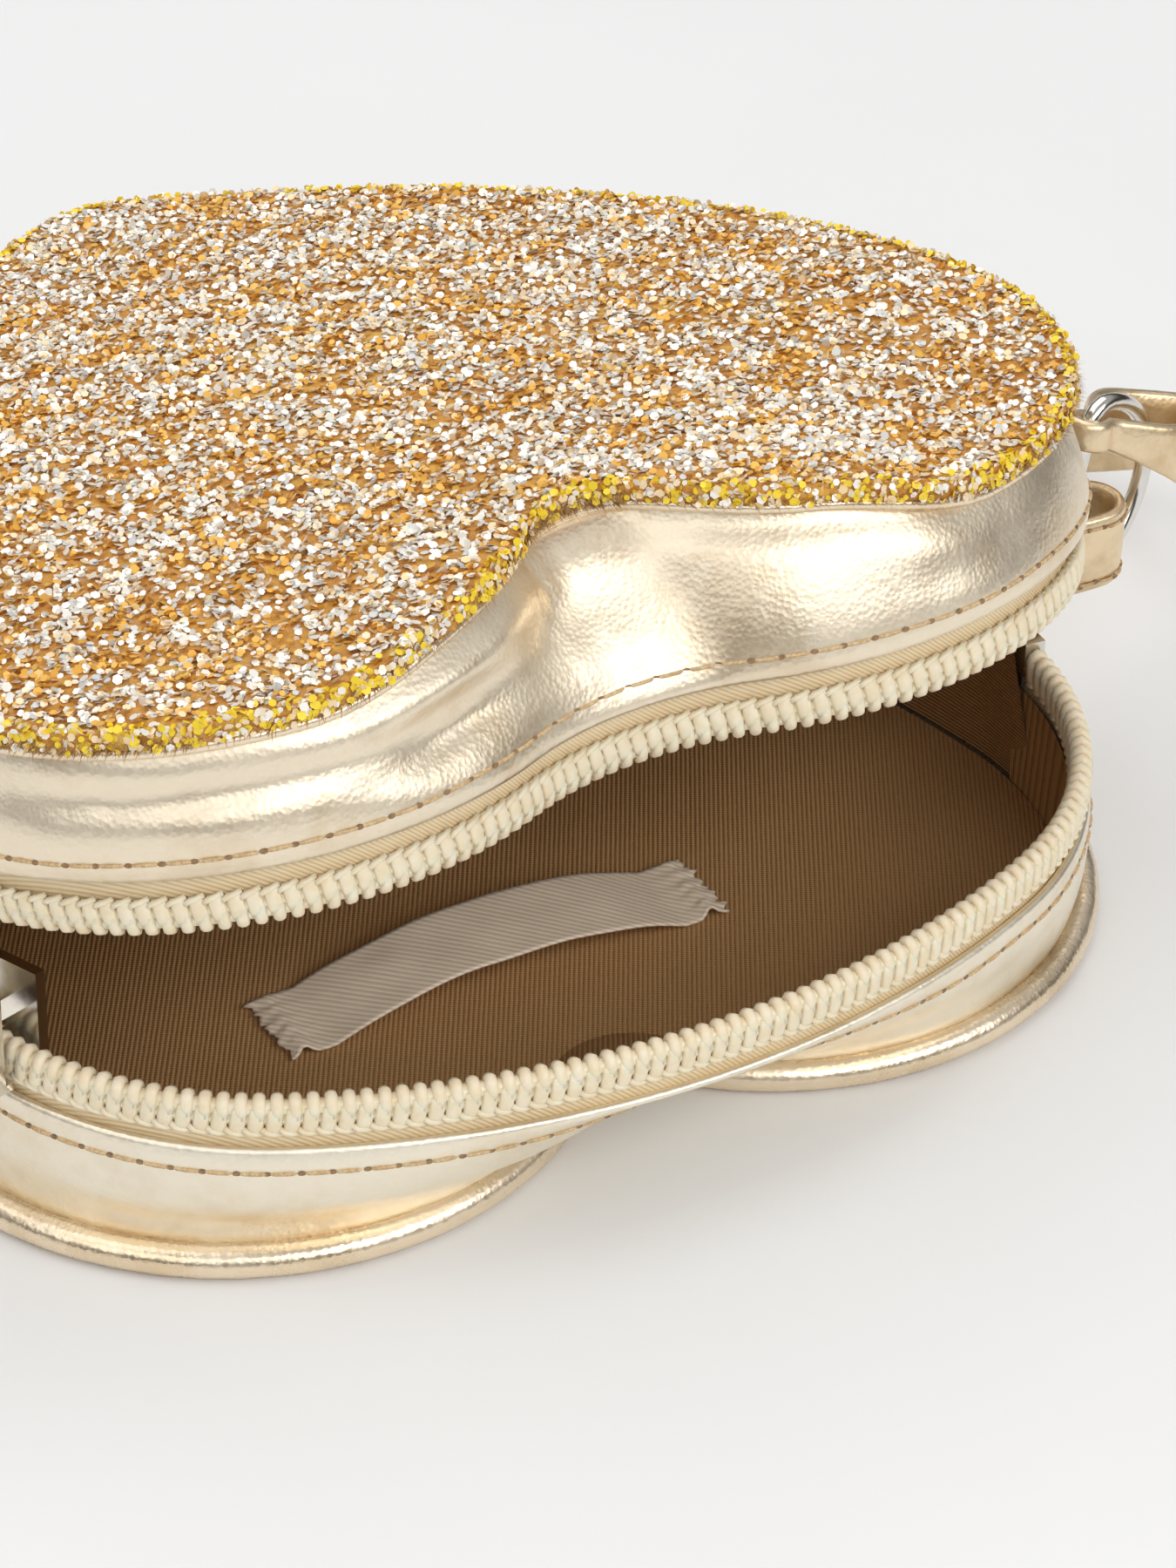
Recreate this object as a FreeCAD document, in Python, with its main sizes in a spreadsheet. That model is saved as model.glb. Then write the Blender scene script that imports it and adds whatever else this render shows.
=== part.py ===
import FreeCAD, Part
import math
import os
import Sketcher
from FreeCAD import Placement, Rotation, Vector

# Heart shaped purse, lying on its back panel with the zip undone.
# +Z is up through the front panel, the lobes point to -Y and the tip to +Y.
# The outline is six tangent arcs. Its offsets share the arc centres.

SIZES = [
    # heart outline at the back seam
    ("lobe_radius", 34.8),
    ("lobe_centre", 30.1),
    ("tip_reach", 96.9),
    ("tip_radius", 11.3),
    ("side_radius", 137.8),
    ("cleft_radius", 6.0),
    # sheet materials
    ("leather", 1.0),
    ("lining", 0.5),
    ("board", 1.2),
    ("tape", 0.5),
    ("glitter", 1.4),
    ("layer_gap", 0.12),
    ("mouth_gap", 1.4),
    # piping round the back panel and the welt under the front panel
    ("piping_radius", 2.0),
    ("welt_radius", 0.6),
    ("front_inset", 1.0),
    # the two zip lines
    ("lower_height", 22.1),
    ("upper_height", 21.8),
    ("rim_inset", 2.4),
    ("lower_rim_centre", 25.5),
    ("lower_rim_bulge", 5.5),
    ("upper_rim_centre", 28.0),
    ("upper_rim_cleft", 28.0),
    ("seam_gap", 0.3),
    # zip
    ("chain_height", 4.0),
    ("chain_thick", 2.4),
    ("tape_show", 1.5),
    ("tape_sewn", 4.0),
    ("tooth_pitch", 1.65),
    ("tooth_length", 1.1),
    ("zip_end_gap", 3.0),
    ("stop_length", 1.8),
    # lid hinge
    ("rest_angle", 11.5),
    ("hinge_turn", 18.0),
    ("hinge_reach", 57.0),
    # label
    ("label_length", 51.0),
    ("label_width", 10.2),
    ("label_rise", 4.0),
    ("label_sewn", 6.0),
    ("label_y", -3.0),
    ("label_x", -2.8),
    # tabs, rings and strap ends
    ("tab_width", 7.0),
    ("tab_bend_radius", 3.0),
    ("tab_reach", 13.6),
    ("ring_out", 5.2),
    ("tab_tail", 4.0),
    ("tab_turn", 18.0),
    ("tab_y", 1.9),
    ("right_tab_above_zip", 7.1),
    ("left_tab_above_zip", 3.5),
    ("ring_wire_radius", 0.95),
    ("ring_half_length", 10.5),
    ("ring_corner_radius", 2.5),
    ("ring_lean", 14.0),
    ("ring_above_tab", 5.2),
    ("strap_width", 8.0),
    ("strap_thick", 2.2),
    ("strap_ply", 1.1),
    ("strap_loop_length", 18.0),
    ("strap_tail_length", 6.0),
    ("strap_above_ring", 4.6),
    # strap coil
    ("coil_x", 72.0),
    ("coil_y", 71.0),
    ("coil_radius", 27.0),
    ("coil_pitch", 3.3),
    ("layer_step", 8.6),
    ("strap_lead", 11.0),
    # slider and pull
    ("slider_angle", 17.0),
    ("slider_length", 10.5),
    ("slider_plate", 1.1),
    ("slider_room", 0.9),
    ("flange_depth", 0.9),
    ("flange_thick", 0.8),
    ("post_thick", 0.8),
    ("post_length", 2.4),
    ("bail_span", 5.8),
    ("bail_wall", 1.0),
    ("bail_room", 1.7),
    ("bail_width", 1.6),
    ("pull_length", 16.0),
    ("pull_width", 5.6),
    ("pull_bar", 0.9),
    ("pull_slot", 3.9),
    ("pull_room", 0.3),
]
COIL_HALF_TURNS = 5
POINTS_PER_HALF_TURN = 40
CORNER_SHARE = 0.45
RIGHT_RUN_SHARES = [(1.146, 0.31, 0.5), (1.125, 0.475, 0.15)]
LEFT_RUN_SHARES = [
    (0.39, 1.084, 0.14),
    (0.155, 1.14, 0),
    (-0.103, 1.151, 0),
    (-0.351, 1.109, 0),
    (-0.578, 1, 0),
    (-0.784, 0.846, 0),
    (-0.96, 0.66, 0.03),
    (-1.094, 0.464, 0.2),
    (-1.135, 0.29, 0.55),
]
SLIDER_NOSE_SHARE = 0.72
BEAD_SHARE = 0.45
NECK_SHARE = 0.6
TOOTH_SHARE = 0.85
LOBE_SPLIT_DEG = -66.0
WALL_FOLD_COUNTS = (9, 5, 4)
CORD_SIDES = 6
WELT_SIDES = 4
FRONT_MIDDLE_SHARE = 0.12

doc = FreeCAD.newDocument("heart_purse")
sheet = doc.addObject("Spreadsheet::Sheet", "sheet")
for row, (alias, value) in enumerate(SIZES, start=1):
    sheet.set(f"A{row}", alias)
    sheet.set(f"B{row}", str(value))
    sheet.setAlias(f"B{row}", alias)
doc.recompute()


def size(alias):
    return float(sheet.get(alias))


UP = Vector(0, 0, 1)
lobe_radius = size("lobe_radius")
lobe_centre = size("lobe_centre")
leather = size("leather")
lining = size("lining")
tape = size("tape")
gap = size("layer_gap")
lower_height = size("lower_height")
chain_height = size("chain_height")
strap_width = size("strap_width")
strap_thick = size("strap_thick")

# Heights with the purse closed.
upper_teeth = lower_height + size("mouth_gap")
panel_height = upper_teeth + size("upper_height")
lower_fold = lower_height - chain_height - gap - size("tape_show")
upper_fold = upper_teeth + chain_height + gap + size("tape_show")
gusset_foot = 2 * size("piping_radius") + gap
gusset_top = panel_height - 2 * size("welt_radius") - 2 * gap
front_edge_inset = size("front_inset") + 2 * size("welt_radius") + gap
rim_reach = lobe_centre + lobe_radius - size("rim_inset")
lower_rim_radius = rim_reach - size("lower_rim_centre")
upper_rim_radius = rim_reach - size("upper_rim_centre")

# The lid turns about a level line at the height of the zip.
turn = math.radians(size("hinge_turn"))
hinge_axis = Vector(-math.cos(turn), -math.sin(turn), 0)
hinge_point = Vector(-math.sin(turn), math.cos(turn), 0) * size("hinge_reach")
hinge_point.z = lower_height
lid_turn = Rotation(hinge_axis, size("rest_angle"))
LID = Placement(hinge_point - lid_turn.multVec(hinge_point), lid_turn)
ROOT = Placement()
parts = []


def keep(obj, label, placement=ROOT):
    """Name a sub-part and set its place."""
    obj.Label = label
    obj.Placement = placement
    parts.append(obj)
    return obj


def feature(label, shape, placement=ROOT):
    """A sub-part whose shape is set from the sheet's sizes."""
    obj = doc.addObject("Part::Feature", label)
    obj.Shape = shape
    return keep(obj, label, placement)


def plane_of(body, role):
    return next(f for f in body.Origin.OriginFeatures if f.Role == role)


def new_sketch(body, name, role, offset=""):
    """A sketch on one of the body's own origin planes, moved along its normal by an expression."""
    sketch = body.newObject("Sketcher::SketchObject", name)
    sketch.AttachmentSupport = [(plane_of(body, role), "")]
    sketch.MapMode = "FlatFace"
    if offset:
        sketch.setExpression("AttachmentOffset.Base.z", offset)
    return sketch


def bind(sketch, constraint, name, expression):
    """Add a dimension and tie it to the sheet."""
    index = sketch.addConstraint(constraint)
    sketch.renameConstraint(index, name)
    sketch.setExpression(f"Constraints.{name}", expression)


def polar(centre, radius, degrees):
    angle = math.radians(degrees)
    return centre + Vector(math.cos(angle), math.sin(angle), 0) * radius


def angle_of(vector):
    return math.degrees(math.atan2(vector.y, vector.x))


def heart_centres():
    """Centres of the cleft, right lobe, right side and tip arcs."""
    lobe = Vector(lobe_centre, 0, 0)
    tip = Vector(0, size("tip_reach") - size("tip_radius"), 0)
    to_lobe = size("side_radius") - lobe_radius
    to_tip = size("side_radius") - size("tip_radius")
    span = tip - lobe
    along = (to_lobe**2 - to_tip**2 + span.Length**2) / (2 * span.Length)
    across = math.sqrt(to_lobe**2 - along**2)
    unit = span * (1 / span.Length)
    side = lobe + unit * along + Vector(-unit.y, unit.x, 0) * across
    cleft = Vector(0, -math.sqrt((lobe_radius + size("cleft_radius")) ** 2 - lobe_centre**2), 0)
    return cleft, lobe, side, tip


CLEFT, LOBE, SIDE, TIP = heart_centres()
CLEFT_DEG = angle_of(LOBE - CLEFT)
SIDE_DEG = angle_of(LOBE - SIDE)
TIP_DEG = angle_of(TIP - SIDE)


def heart_sketch(body, name, offset, height):
    """The closed heart outline, moved outwards by the sheet expression offset, at the given height."""
    sketch = new_sketch(body, name, "XY_Plane", height)
    left_lobe = Vector(-LOBE.x, LOBE.y, 0)
    left_side = Vector(-SIDE.x, SIDE.y, 0)
    arcs = [
        (LOBE, lobe_radius, CLEFT_DEG - 180, SIDE_DEG),
        (SIDE, size("side_radius"), SIDE_DEG, TIP_DEG),
        (TIP, size("tip_radius"), TIP_DEG, 180 - TIP_DEG),
        (left_side, size("side_radius"), 180 - TIP_DEG, 180 - SIDE_DEG),
        (left_lobe, lobe_radius, 180 - SIDE_DEG, 360 - CLEFT_DEG),
        (CLEFT, size("cleft_radius"), CLEFT_DEG, 180 - CLEFT_DEG),
    ]
    for centre, radius, start, end in arcs:
        circle = Part.Circle(centre, UP, radius)
        sketch.addGeometry(Part.ArcOfCircle(circle, math.radians(start), math.radians(end)))
    for first, second in ((0, 1), (1, 2), (2, 3), (3, 4)):
        sketch.addConstraint(Sketcher.Constraint("Tangent", first, 2, second, 1))
    sketch.addConstraint(Sketcher.Constraint("Tangent", 4, 2, 5, 2))
    sketch.addConstraint(Sketcher.Constraint("Tangent", 5, 1, 0, 1))
    sketch.addConstraint(Sketcher.Constraint("Equal", 0, 4))
    sketch.addConstraint(Sketcher.Constraint("Equal", 1, 3))
    sketch.addConstraint(Sketcher.Constraint("PointOnObject", 0, 3, -1))
    sketch.addConstraint(Sketcher.Constraint("Symmetric", 4, 3, 0, 3, -2))
    sketch.addConstraint(Sketcher.Constraint("PointOnObject", 2, 3, -2))
    lobe_x = Sketcher.Constraint("DistanceX", -1, 1, 0, 3, lobe_centre)
    bind(sketch, lobe_x, "lobe_x", "sheet.lobe_centre")
    tip_y = Sketcher.Constraint("DistanceY", -1, 1, 2, 3, TIP.y)
    bind(sketch, tip_y, "tip_y", "sheet.tip_reach - sheet.tip_radius")
    for index, word, sign in ((0, "lobe", "+"), (1, "side", "+"), (2, "tip", "+"), (5, "cleft", "-")):
        radius = Sketcher.Constraint("Radius", index, arcs[index][1])
        bind(sketch, radius, word, f"sheet.{word}_radius {sign} ({offset})")
    return sketch


def heart_pad(label, offset, height, thickness, placement=ROOT):
    """A flat heart shaped layer."""
    body = doc.addObject("PartDesign::Body", label)
    outline = heart_sketch(body, label + "_outline", offset, height)
    pad = body.newObject("PartDesign::Pad", label + "_pad")
    pad.Profile = outline
    pad.setExpression("Length", thickness)
    return keep(body, label, placement)


def round_section(sketch, sides, radius, centre, across="0", above="0"):
    """A regular polygon inside a circle whose radius and centre are tied to the sheet."""
    reach = size(radius)
    circle = sketch.addGeometry(Part.Circle(centre, UP, reach), True)
    corners = [polar(centre, reach, 360 * (k + 0.5) / sides - 90) for k in range(sides)]
    for first, second in zip(corners, corners[1:] + corners[:1]):
        index = sketch.addGeometry(Part.LineSegment(first, second))
        sketch.addConstraint(Sketcher.Constraint("PointOnObject", index, 1, circle))
    for index in range(1, sides):
        sketch.addConstraint(Sketcher.Constraint("Coincident", index, 2, index + 1, 1))
        sketch.addConstraint(Sketcher.Constraint("Equal", index, index + 1))
    sketch.addConstraint(Sketcher.Constraint("Coincident", sides, 2, 1, 1))
    sketch.addConstraint(Sketcher.Constraint("Horizontal", sides))
    bind(sketch, Sketcher.Constraint("Radius", circle, reach), "reach", f"sheet.{radius}")
    bind(sketch, Sketcher.Constraint("DistanceX", -1, 1, circle, 3, centre.x), "across", across)
    bind(sketch, Sketcher.Constraint("DistanceY", -1, 1, circle, 3, centre.y), "above", above)


def heart_cord(label, centre, offset, height, radius, sides, placement=ROOT):
    """A cord along the heart outline; centre is its section's place at the tip."""
    body = doc.addObject("PartDesign::Body", label)
    path = heart_sketch(body, label + "_path", offset, height)
    section = new_sketch(body, label + "_section", "YZ_Plane")
    round_section(section, sides, radius, centre, f"sheet.tip_reach + ({offset})", height)
    pipe = body.newObject("PartDesign::AdditivePipe", label + "_pipe")
    pipe.Profile = section
    pipe.Spine = path
    return keep(body, label, placement)


def mirrored(arcs):
    """A line of arcs and its mirror image, joined at the middle plane."""
    flipped = [(Vector(-c.x, c.y, 0), r, 180 - end, 180 - start) for c, r, start, end in reversed(arcs)]
    return arcs + flipped


def chord_points(line, height):
    """Corners of the chords that follow a line of arcs at a height."""
    folds = WALL_FOLD_COUNTS + WALL_FOLD_COUNTS[::-1]
    points = []
    for (centre, radius, start, end), count in zip(line, folds):
        points += [polar(centre, radius, start + (end - start) * k / count) for k in range(count)]
    centre, radius, _, end = line[-1]
    points.append(polar(centre, radius, end))
    return [Vector(p.x, p.y, height) for p in points]


def cleft_line(lobe, centre, cleft, offset, end_gap):
    """Arcs over the lobes, from the right side to the left, with a cleft between them."""
    hub = Vector(centre, 0, 0)
    middle = Vector(0, -math.sqrt((lobe + cleft) ** 2 - centre**2), 0)
    reach = lobe + offset
    end = -math.degrees(math.asin(end_gap / reach))
    tangent = angle_of(hub - middle)
    return mirrored([
        (hub, reach, end, LOBE_SPLIT_DEG),
        (hub, reach, LOBE_SPLIT_DEG, tangent - 180),
        (middle, cleft - offset, tangent, 90),
    ])


def bulged_line(lobe, centre, bulge, offset, end_gap):
    """Arcs over the lobes, from the right side to the left, with one full arc across the front."""
    hub = Vector(centre, 0, 0)
    middle = Vector(0, (centre**2 - bulge**2) / (2 * bulge), 0)
    reach = lobe + offset
    radius = (hub - middle).Length + reach
    end = -math.degrees(math.asin(end_gap / reach))
    tangent = angle_of(hub - middle)
    split = -90 + (tangent + 90) * FRONT_MIDDLE_SHARE
    arcs = [(hub, reach, end, tangent), (middle, radius, tangent, split), (middle, radius, split, -90)]
    return mirrored(arcs)


def back_line(offset, end_gap=None):
    """The lobes of the back seam."""
    end_gap = size("seam_gap") if end_gap is None else end_gap
    return cleft_line(lobe_radius, lobe_centre, size("cleft_radius"), offset, end_gap)


def lower_rim(offset, end_gap=None):
    """The lower zip line."""
    end_gap = size("seam_gap") if end_gap is None else end_gap
    return bulged_line(lower_rim_radius, size("lower_rim_centre"), size("lower_rim_bulge"), offset, end_gap)


def upper_rim(offset, end_gap=None):
    """The upper zip line."""
    end_gap = size("seam_gap") if end_gap is None else end_gap
    return cleft_line(upper_rim_radius, size("upper_rim_centre"), size("upper_rim_cleft"), offset, end_gap)


def tip_line(offset):
    """Arcs of the back seam from the right side round the tip to the left side."""
    return mirrored([
        (LOBE, lobe_radius + offset, 0, SIDE_DEG),
        (SIDE, size("side_radius") + offset, SIDE_DEG, TIP_DEG),
        (TIP, size("tip_radius") + offset, TIP_DEG, 90),
    ])


def facets(first, second):
    """Two triangles between each pair of neighbouring points of two lines, mirrored at the middle."""
    faces = []
    middle = len(first) // 2
    for index, (p, q, r, s) in enumerate(zip(first, first[1:], second[1:], second)):
        halves = ((p, q, r), (p, r, s)) if index < middle else ((p, q, s), (q, r, s))
        faces += [Part.Face(Part.makePolygon([*corners, corners[0]])) for corners in halves]
    return faces


def band(line_low, low, low_offset, line_high, high, high_offset, thickness, top_place=ROOT):
    """A sheet wall of the given thickness, with flat facets between a lower and an upper line."""
    feet = []
    heads = []
    for depth in (0, thickness):
        feet.append(chord_points(line_low(low_offset - depth), low))
        heads.append([top_place.multVec(p) for p in chord_points(line_high(high_offset - depth), high)])
    faces = facets(feet[0], heads[0]) + facets(feet[1], heads[1]) + facets(*feet) + facets(*heads)
    for end in (0, -1):
        faces += facets([foot[end] for foot in feet], [head[end] for head in heads])
    wall = Part.makeSolid(Part.makeShell(faces))
    return wall if wall.Volume > 0 else wall.reversed()


def slab(low, high):
    """A block wider than the purse between two heights."""
    reach = 2 * size("tip_reach")
    return Part.makeBox(2 * reach, 2 * reach, high - low, Vector(-reach, -reach, low))


# Flat layers of the back half.
panel_offset = "-(sheet.piping_radius + sheet.layer_gap)"
board_height = "sheet.leather + sheet.layer_gap"
lining_height = f"{board_height} + sheet.board + sheet.layer_gap"
heart_pad("back_panel", panel_offset, "0", "sheet.leather")
heart_pad("back_board", panel_offset, board_height, "sheet.board")
heart_pad("back_lining", panel_offset, lining_height, "sheet.lining")
piping_spot = Vector(size("tip_reach"), size("piping_radius"), 0)
heart_cord("piping", piping_spot, "0", "sheet.piping_radius", "piping_radius", CORD_SIDES)

# Flat layers of the front half.
front_height = "sheet.lower_height + sheet.mouth_gap + sheet.upper_height"
inner_offset = "-(sheet.front_inset + 2 * sheet.welt_radius + 4 * sheet.layer_gap + sheet.leather"
inner_offset += " + 2 * sheet.lining + sheet.tape)"
front_board = f"{front_height} - sheet.layer_gap - sheet.board"
front_lining = f"{front_board} - sheet.layer_gap - sheet.lining"
heart_pad("front_panel", "-sheet.front_inset", front_height, "sheet.glitter", LID)
heart_pad("front_board", inner_offset, front_board, "sheet.board", LID)
heart_pad("front_lining", inner_offset, front_lining, "sheet.lining", LID)
welt_offset = "-(sheet.front_inset + sheet.welt_radius)"
welt_height = f"{front_height} - sheet.layer_gap - sheet.welt_radius"
welt_reach = size("tip_reach") - size("front_inset") - size("welt_radius")
welt_spot = Vector(welt_reach, panel_height - gap - size("welt_radius"), 0)
heart_cord("front_welt", welt_spot, welt_offset, welt_height, "welt_radius", WELT_SIDES, LID)

# Offsets of the three plies of a gusset: leather outside, then the zip tape, then the lining.
tape_ply = leather + gap
lining_ply = tape_ply + tape + gap
rim_leather = tape / 2 + gap + leather


def lower_ply(depth, thickness):
    """One ply of the lower gusset, at a depth inside its outer face."""
    return band(back_line, gusset_foot, -depth, lower_rim, lower_fold, rim_leather - depth, thickness)


def upper_ply(depth, thickness):
    """One ply of the upper gusset, at a depth inside its outer face."""
    edge = -front_edge_inset - depth
    return band(upper_rim, upper_fold, rim_leather - depth, back_line, gusset_top, edge, thickness)


def bottom_ply(depth, thickness):
    """One ply of the gusset round the tip, from the back seam to the tilted front panel."""
    edge = -front_edge_inset - depth
    return band(tip_line, gusset_foot, -depth, tip_line, gusset_top, edge, thickness, LID)


def zip_line(rim):
    """A rim line that ends short of the side seams."""
    return lambda offset: rim(offset, size("zip_end_gap"))


def tape_strip(rim, ply, low, high, sewn):
    """Zip tape: the strip that shows beside the chain and the part sewn behind the gusset."""
    strip = band(zip_line(rim), low, tape / 2, zip_line(rim), high, tape / 2, tape)
    return strip.fuse(ply.common(sewn)).removeSplitter()


feature("lower_gusset", lower_ply(0, leather))
feature("lower_gusset_lining", lower_ply(lining_ply, lining))
feature("upper_gusset", upper_ply(0, leather), LID)
feature("upper_gusset_lining", upper_ply(lining_ply, lining), LID)
sewn_low = slab(lower_fold - size("tape_sewn"), lower_fold)
sewn_high = slab(upper_fold, upper_fold + size("tape_sewn"))
lower_root = lower_height - chain_height - gap
upper_root = upper_teeth + chain_height + gap
lower_tape = tape_strip(lower_rim, lower_ply(tape_ply, tape), lower_fold, lower_root, sewn_low)
upper_tape = tape_strip(upper_rim, upper_ply(tape_ply, tape), upper_root, upper_fold, sewn_high)
feature("lower_zip_tape", lower_tape)
feature("upper_zip_tape", upper_tape, LID)


# Zip chain: a row of coil turns, each with a neck and a wider head, on a bead along the tape.
def stations(line, pitch):
    """Points, and the angle of the outward normal, at even steps along a line of arcs."""
    total = sum(radius * math.radians(abs(end - start)) for _, radius, start, end in line)
    count = int(total / pitch)
    places = []
    travelled = (total - (count - 1) * pitch) / 2
    for centre, radius, start, end in line:
        length = radius * math.radians(abs(end - start))
        concave = end > start
        while travelled <= length and len(places) < count:
            angle = start + (end - start) * travelled / length
            places.append((polar(centre, radius, angle), angle + 180 * concave))
            travelled += pitch
        travelled -= length
    return places


def chain(rim, root, heads_up):
    """Coil turns, wider at the head, fused to their bead."""
    sign = 1 if heads_up else -1
    thick = size("chain_thick")
    levels = sorted((root, root + sign * chain_height * BEAD_SHARE))
    line = zip_line(rim)
    bead = band(line, levels[0], thick / 2, line, levels[1], thick / 2, thick)
    head = size("tooth_length") / 2
    neck = head * NECK_SHARE
    seat = BEAD_SHARE / 2
    half = [(neck, seat), (head, 1)]
    outline = half + [(-across, share) for across, share in reversed(half)]
    deep = thick * TOOTH_SHARE
    corners = [Vector(-deep / 2, across, sign * share * chain_height) for across, share in outline]
    tooth = Part.Face(Part.makePolygon(corners + corners[:1])).extrude(Vector(deep, 0, 0))
    teeth = []
    for point, degrees in stations(line(0), size("tooth_pitch")):
        copy = tooth.copy()
        copy.Placement = Placement(point + UP * root, Rotation(UP, degrees))
        teeth.append(copy)
    return bead.multiFuse(teeth).removeSplitter()


def stops(rim, low):
    """End stops at both ends of a chain."""
    long = size("stop_length")
    thick = size("chain_thick")
    hub, radius, start, _ = rim(0, size("zip_end_gap") - gap - long / 2)[0]
    block = Part.makeBox(thick, long, chain_height, Vector(-thick / 2, -long / 2, low))
    block.Placement = Placement(polar(hub, radius, start), Rotation(UP, start))
    return Part.makeCompound([block, block.mirror(Vector(), Vector(1, 0, 0))])


feature("lower_zip_chain", chain(lower_rim, lower_height - chain_height, True))
feature("upper_zip_chain", chain(upper_rim, upper_teeth + chain_height, False), LID)
feature("lower_zip_stops", stops(lower_rim, lower_height - chain_height))
feature("upper_zip_stops", stops(upper_rim, upper_teeth), LID)


def profile_pad(body, name, role, geometry, length, offset="", midplane=False):
    """Pad a closed profile drawn on one of the body's origin planes."""
    sketch = new_sketch(body, name + "_profile", role, offset)
    sketch.addGeometry(geometry)
    pad = body.newObject("PartDesign::Pad", name)
    pad.Profile = sketch
    pad.setExpression("Length", length)
    pad.Midplane = midplane
    return pad


def polygon(points):
    """Line segments round a closed run of (x, y) points."""
    corners = [Vector(x, y, 0) for x, y in points]
    return [Part.LineSegment(a, b) for a, b in zip(corners, corners[1:] + corners[:1])]


def label_profile():
    """Side view of the label: flat sewn ends and an arch between them."""
    half = size("label_length") / 2
    flat = half - size("label_sewn")
    rise = size("label_rise")
    runs = []
    for level in (0, lining):
        ends = [Vector(x, level, 0) for x in (-half, -flat, flat, half)]
        arch = Part.Arc(ends[1], Vector(0, rise + level, 0), ends[2])
        runs.append((ends, arch))
    (low, low_arch), (high, high_arch) = runs
    sides = [Part.LineSegment(low[0], high[0]), Part.LineSegment(low[3], high[3])]
    flats = [Part.LineSegment(e[i], e[i + 1]) for e in (low, high) for i in (0, 2)]
    return flats + sides + [low_arch, high_arch]


label_level = leather + size("board") + lining + 3 * gap
label = doc.addObject("PartDesign::Body", "label")
profile_pad(label, "label_strip", "XZ_Plane", label_profile(), "sheet.label_width", midplane=True)
keep(label, "label", Placement(Vector(size("label_x"), size("label_y"), label_level), Rotation()))

# Side tabs, rings and strap ends. Each side has a frame that points out of the side seam.
tab_outer = size("tab_bend_radius") + leather
tab_end = size("tab_reach") - tab_outer
seam_x = lobe_centre + lobe_radius - front_edge_inset / 3


def tangent_point(centre_x, radius, x, y):
    """Where a line from (x, y) touches a circle about (centre_x, 0), on the side of y."""
    reach = math.hypot(x - centre_x, y)
    angle = math.atan2(y, x - centre_x) - math.copysign(math.acos(radius / reach), y)
    return Vector(centre_x + radius * math.cos(angle), radius * math.sin(angle), 0)


def tab_profile():
    """A band of leather folded round, its two plies meeting at the seam and parting outwards."""
    tail = -size("tab_tail")
    runs = []
    for radius, start in ((tab_outer, leather), (size("tab_bend_radius"), 0.0)):
        touch = tangent_point(tab_end, radius, 0, start)
        below = Vector(touch.x, -touch.y, 0)
        runs.append(Part.Arc(touch, Vector(tab_end + radius, 0, 0), below))
        runs += [Part.LineSegment(p, Vector(0, math.copysign(start, p.y), 0)) for p in (touch, below)]
    corners = [(0, leather), (tail, leather), (tail, -leather), (0, -leather)]
    return runs + polygon(corners)[:3]


def ring_path():
    """D shaped path: a straight bar on the Y axis, two corners and a half circle."""
    half = size("ring_half_length")
    corner = size("ring_corner_radius")
    bar = half - corner
    slant = corner * (1 - math.sqrt(0.5))
    upper = Part.Arc(Vector(0, bar, 0), Vector(slant, half - slant, 0), Vector(corner, half, 0))
    bow = Part.Arc(Vector(corner, half, 0), Vector(corner + half, 0, 0), Vector(corner, -half, 0))
    lower = Part.Arc(Vector(corner, -half, 0), Vector(slant, slant - half, 0), Vector(0, -bar, 0))
    return [Part.LineSegment(Vector(0, -bar, 0), Vector(0, bar, 0)), upper, bow, lower]


def loop_profile():
    """Strap end folded round the ring's bar, its two plies sewn together past the bow."""
    inner = size("ring_wire_radius") + size("pull_room")
    ply = size("strap_ply")
    outer = inner + ply
    long = size("strap_loop_length")
    taper = long - 2 * outer
    end = long + size("strap_tail_length")
    half = strap_thick / 2
    near = [Vector(0, inner, 0), Vector(taper, inner, 0)]
    hole = near + [Vector(long, 0, 0)] + [Vector(c.x, -c.y, 0) for c in reversed(near)]
    rim = [Vector(0, outer, 0), Vector(taper, outer, 0), Vector(long, half, 0), Vector(end, half, 0)]
    rim += [Vector(c.x, -c.y, 0) for c in reversed(rim)]
    lines = [Part.LineSegment(a, b) for run in (hole, rim) for a, b in zip(run, run[1:])]
    bends = [Part.Arc(Vector(0, r, 0), Vector(-r, 0, 0), Vector(0, -r, 0)) for r in (inner, outer)]
    return lines + bends


def side_frames(side, tab_height):
    """Frames of the tab and of the ring on one side, +1 for the right and -1 for the left."""
    heading = size("tab_turn") if side > 0 else 180 - size("tab_turn")
    tab_frame = Placement(Vector(side * seam_x, size("tab_y"), tab_height), Rotation(UP, heading))
    lean = Rotation(Vector(0, 1, 0), size("ring_lean"))
    along = lean.multVec(UP) * size("ring_above_tab")
    ring_frame = tab_frame.multiply(Placement(Vector(size("ring_out"), 0, 0) + along, lean))
    return tab_frame, ring_frame


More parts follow.
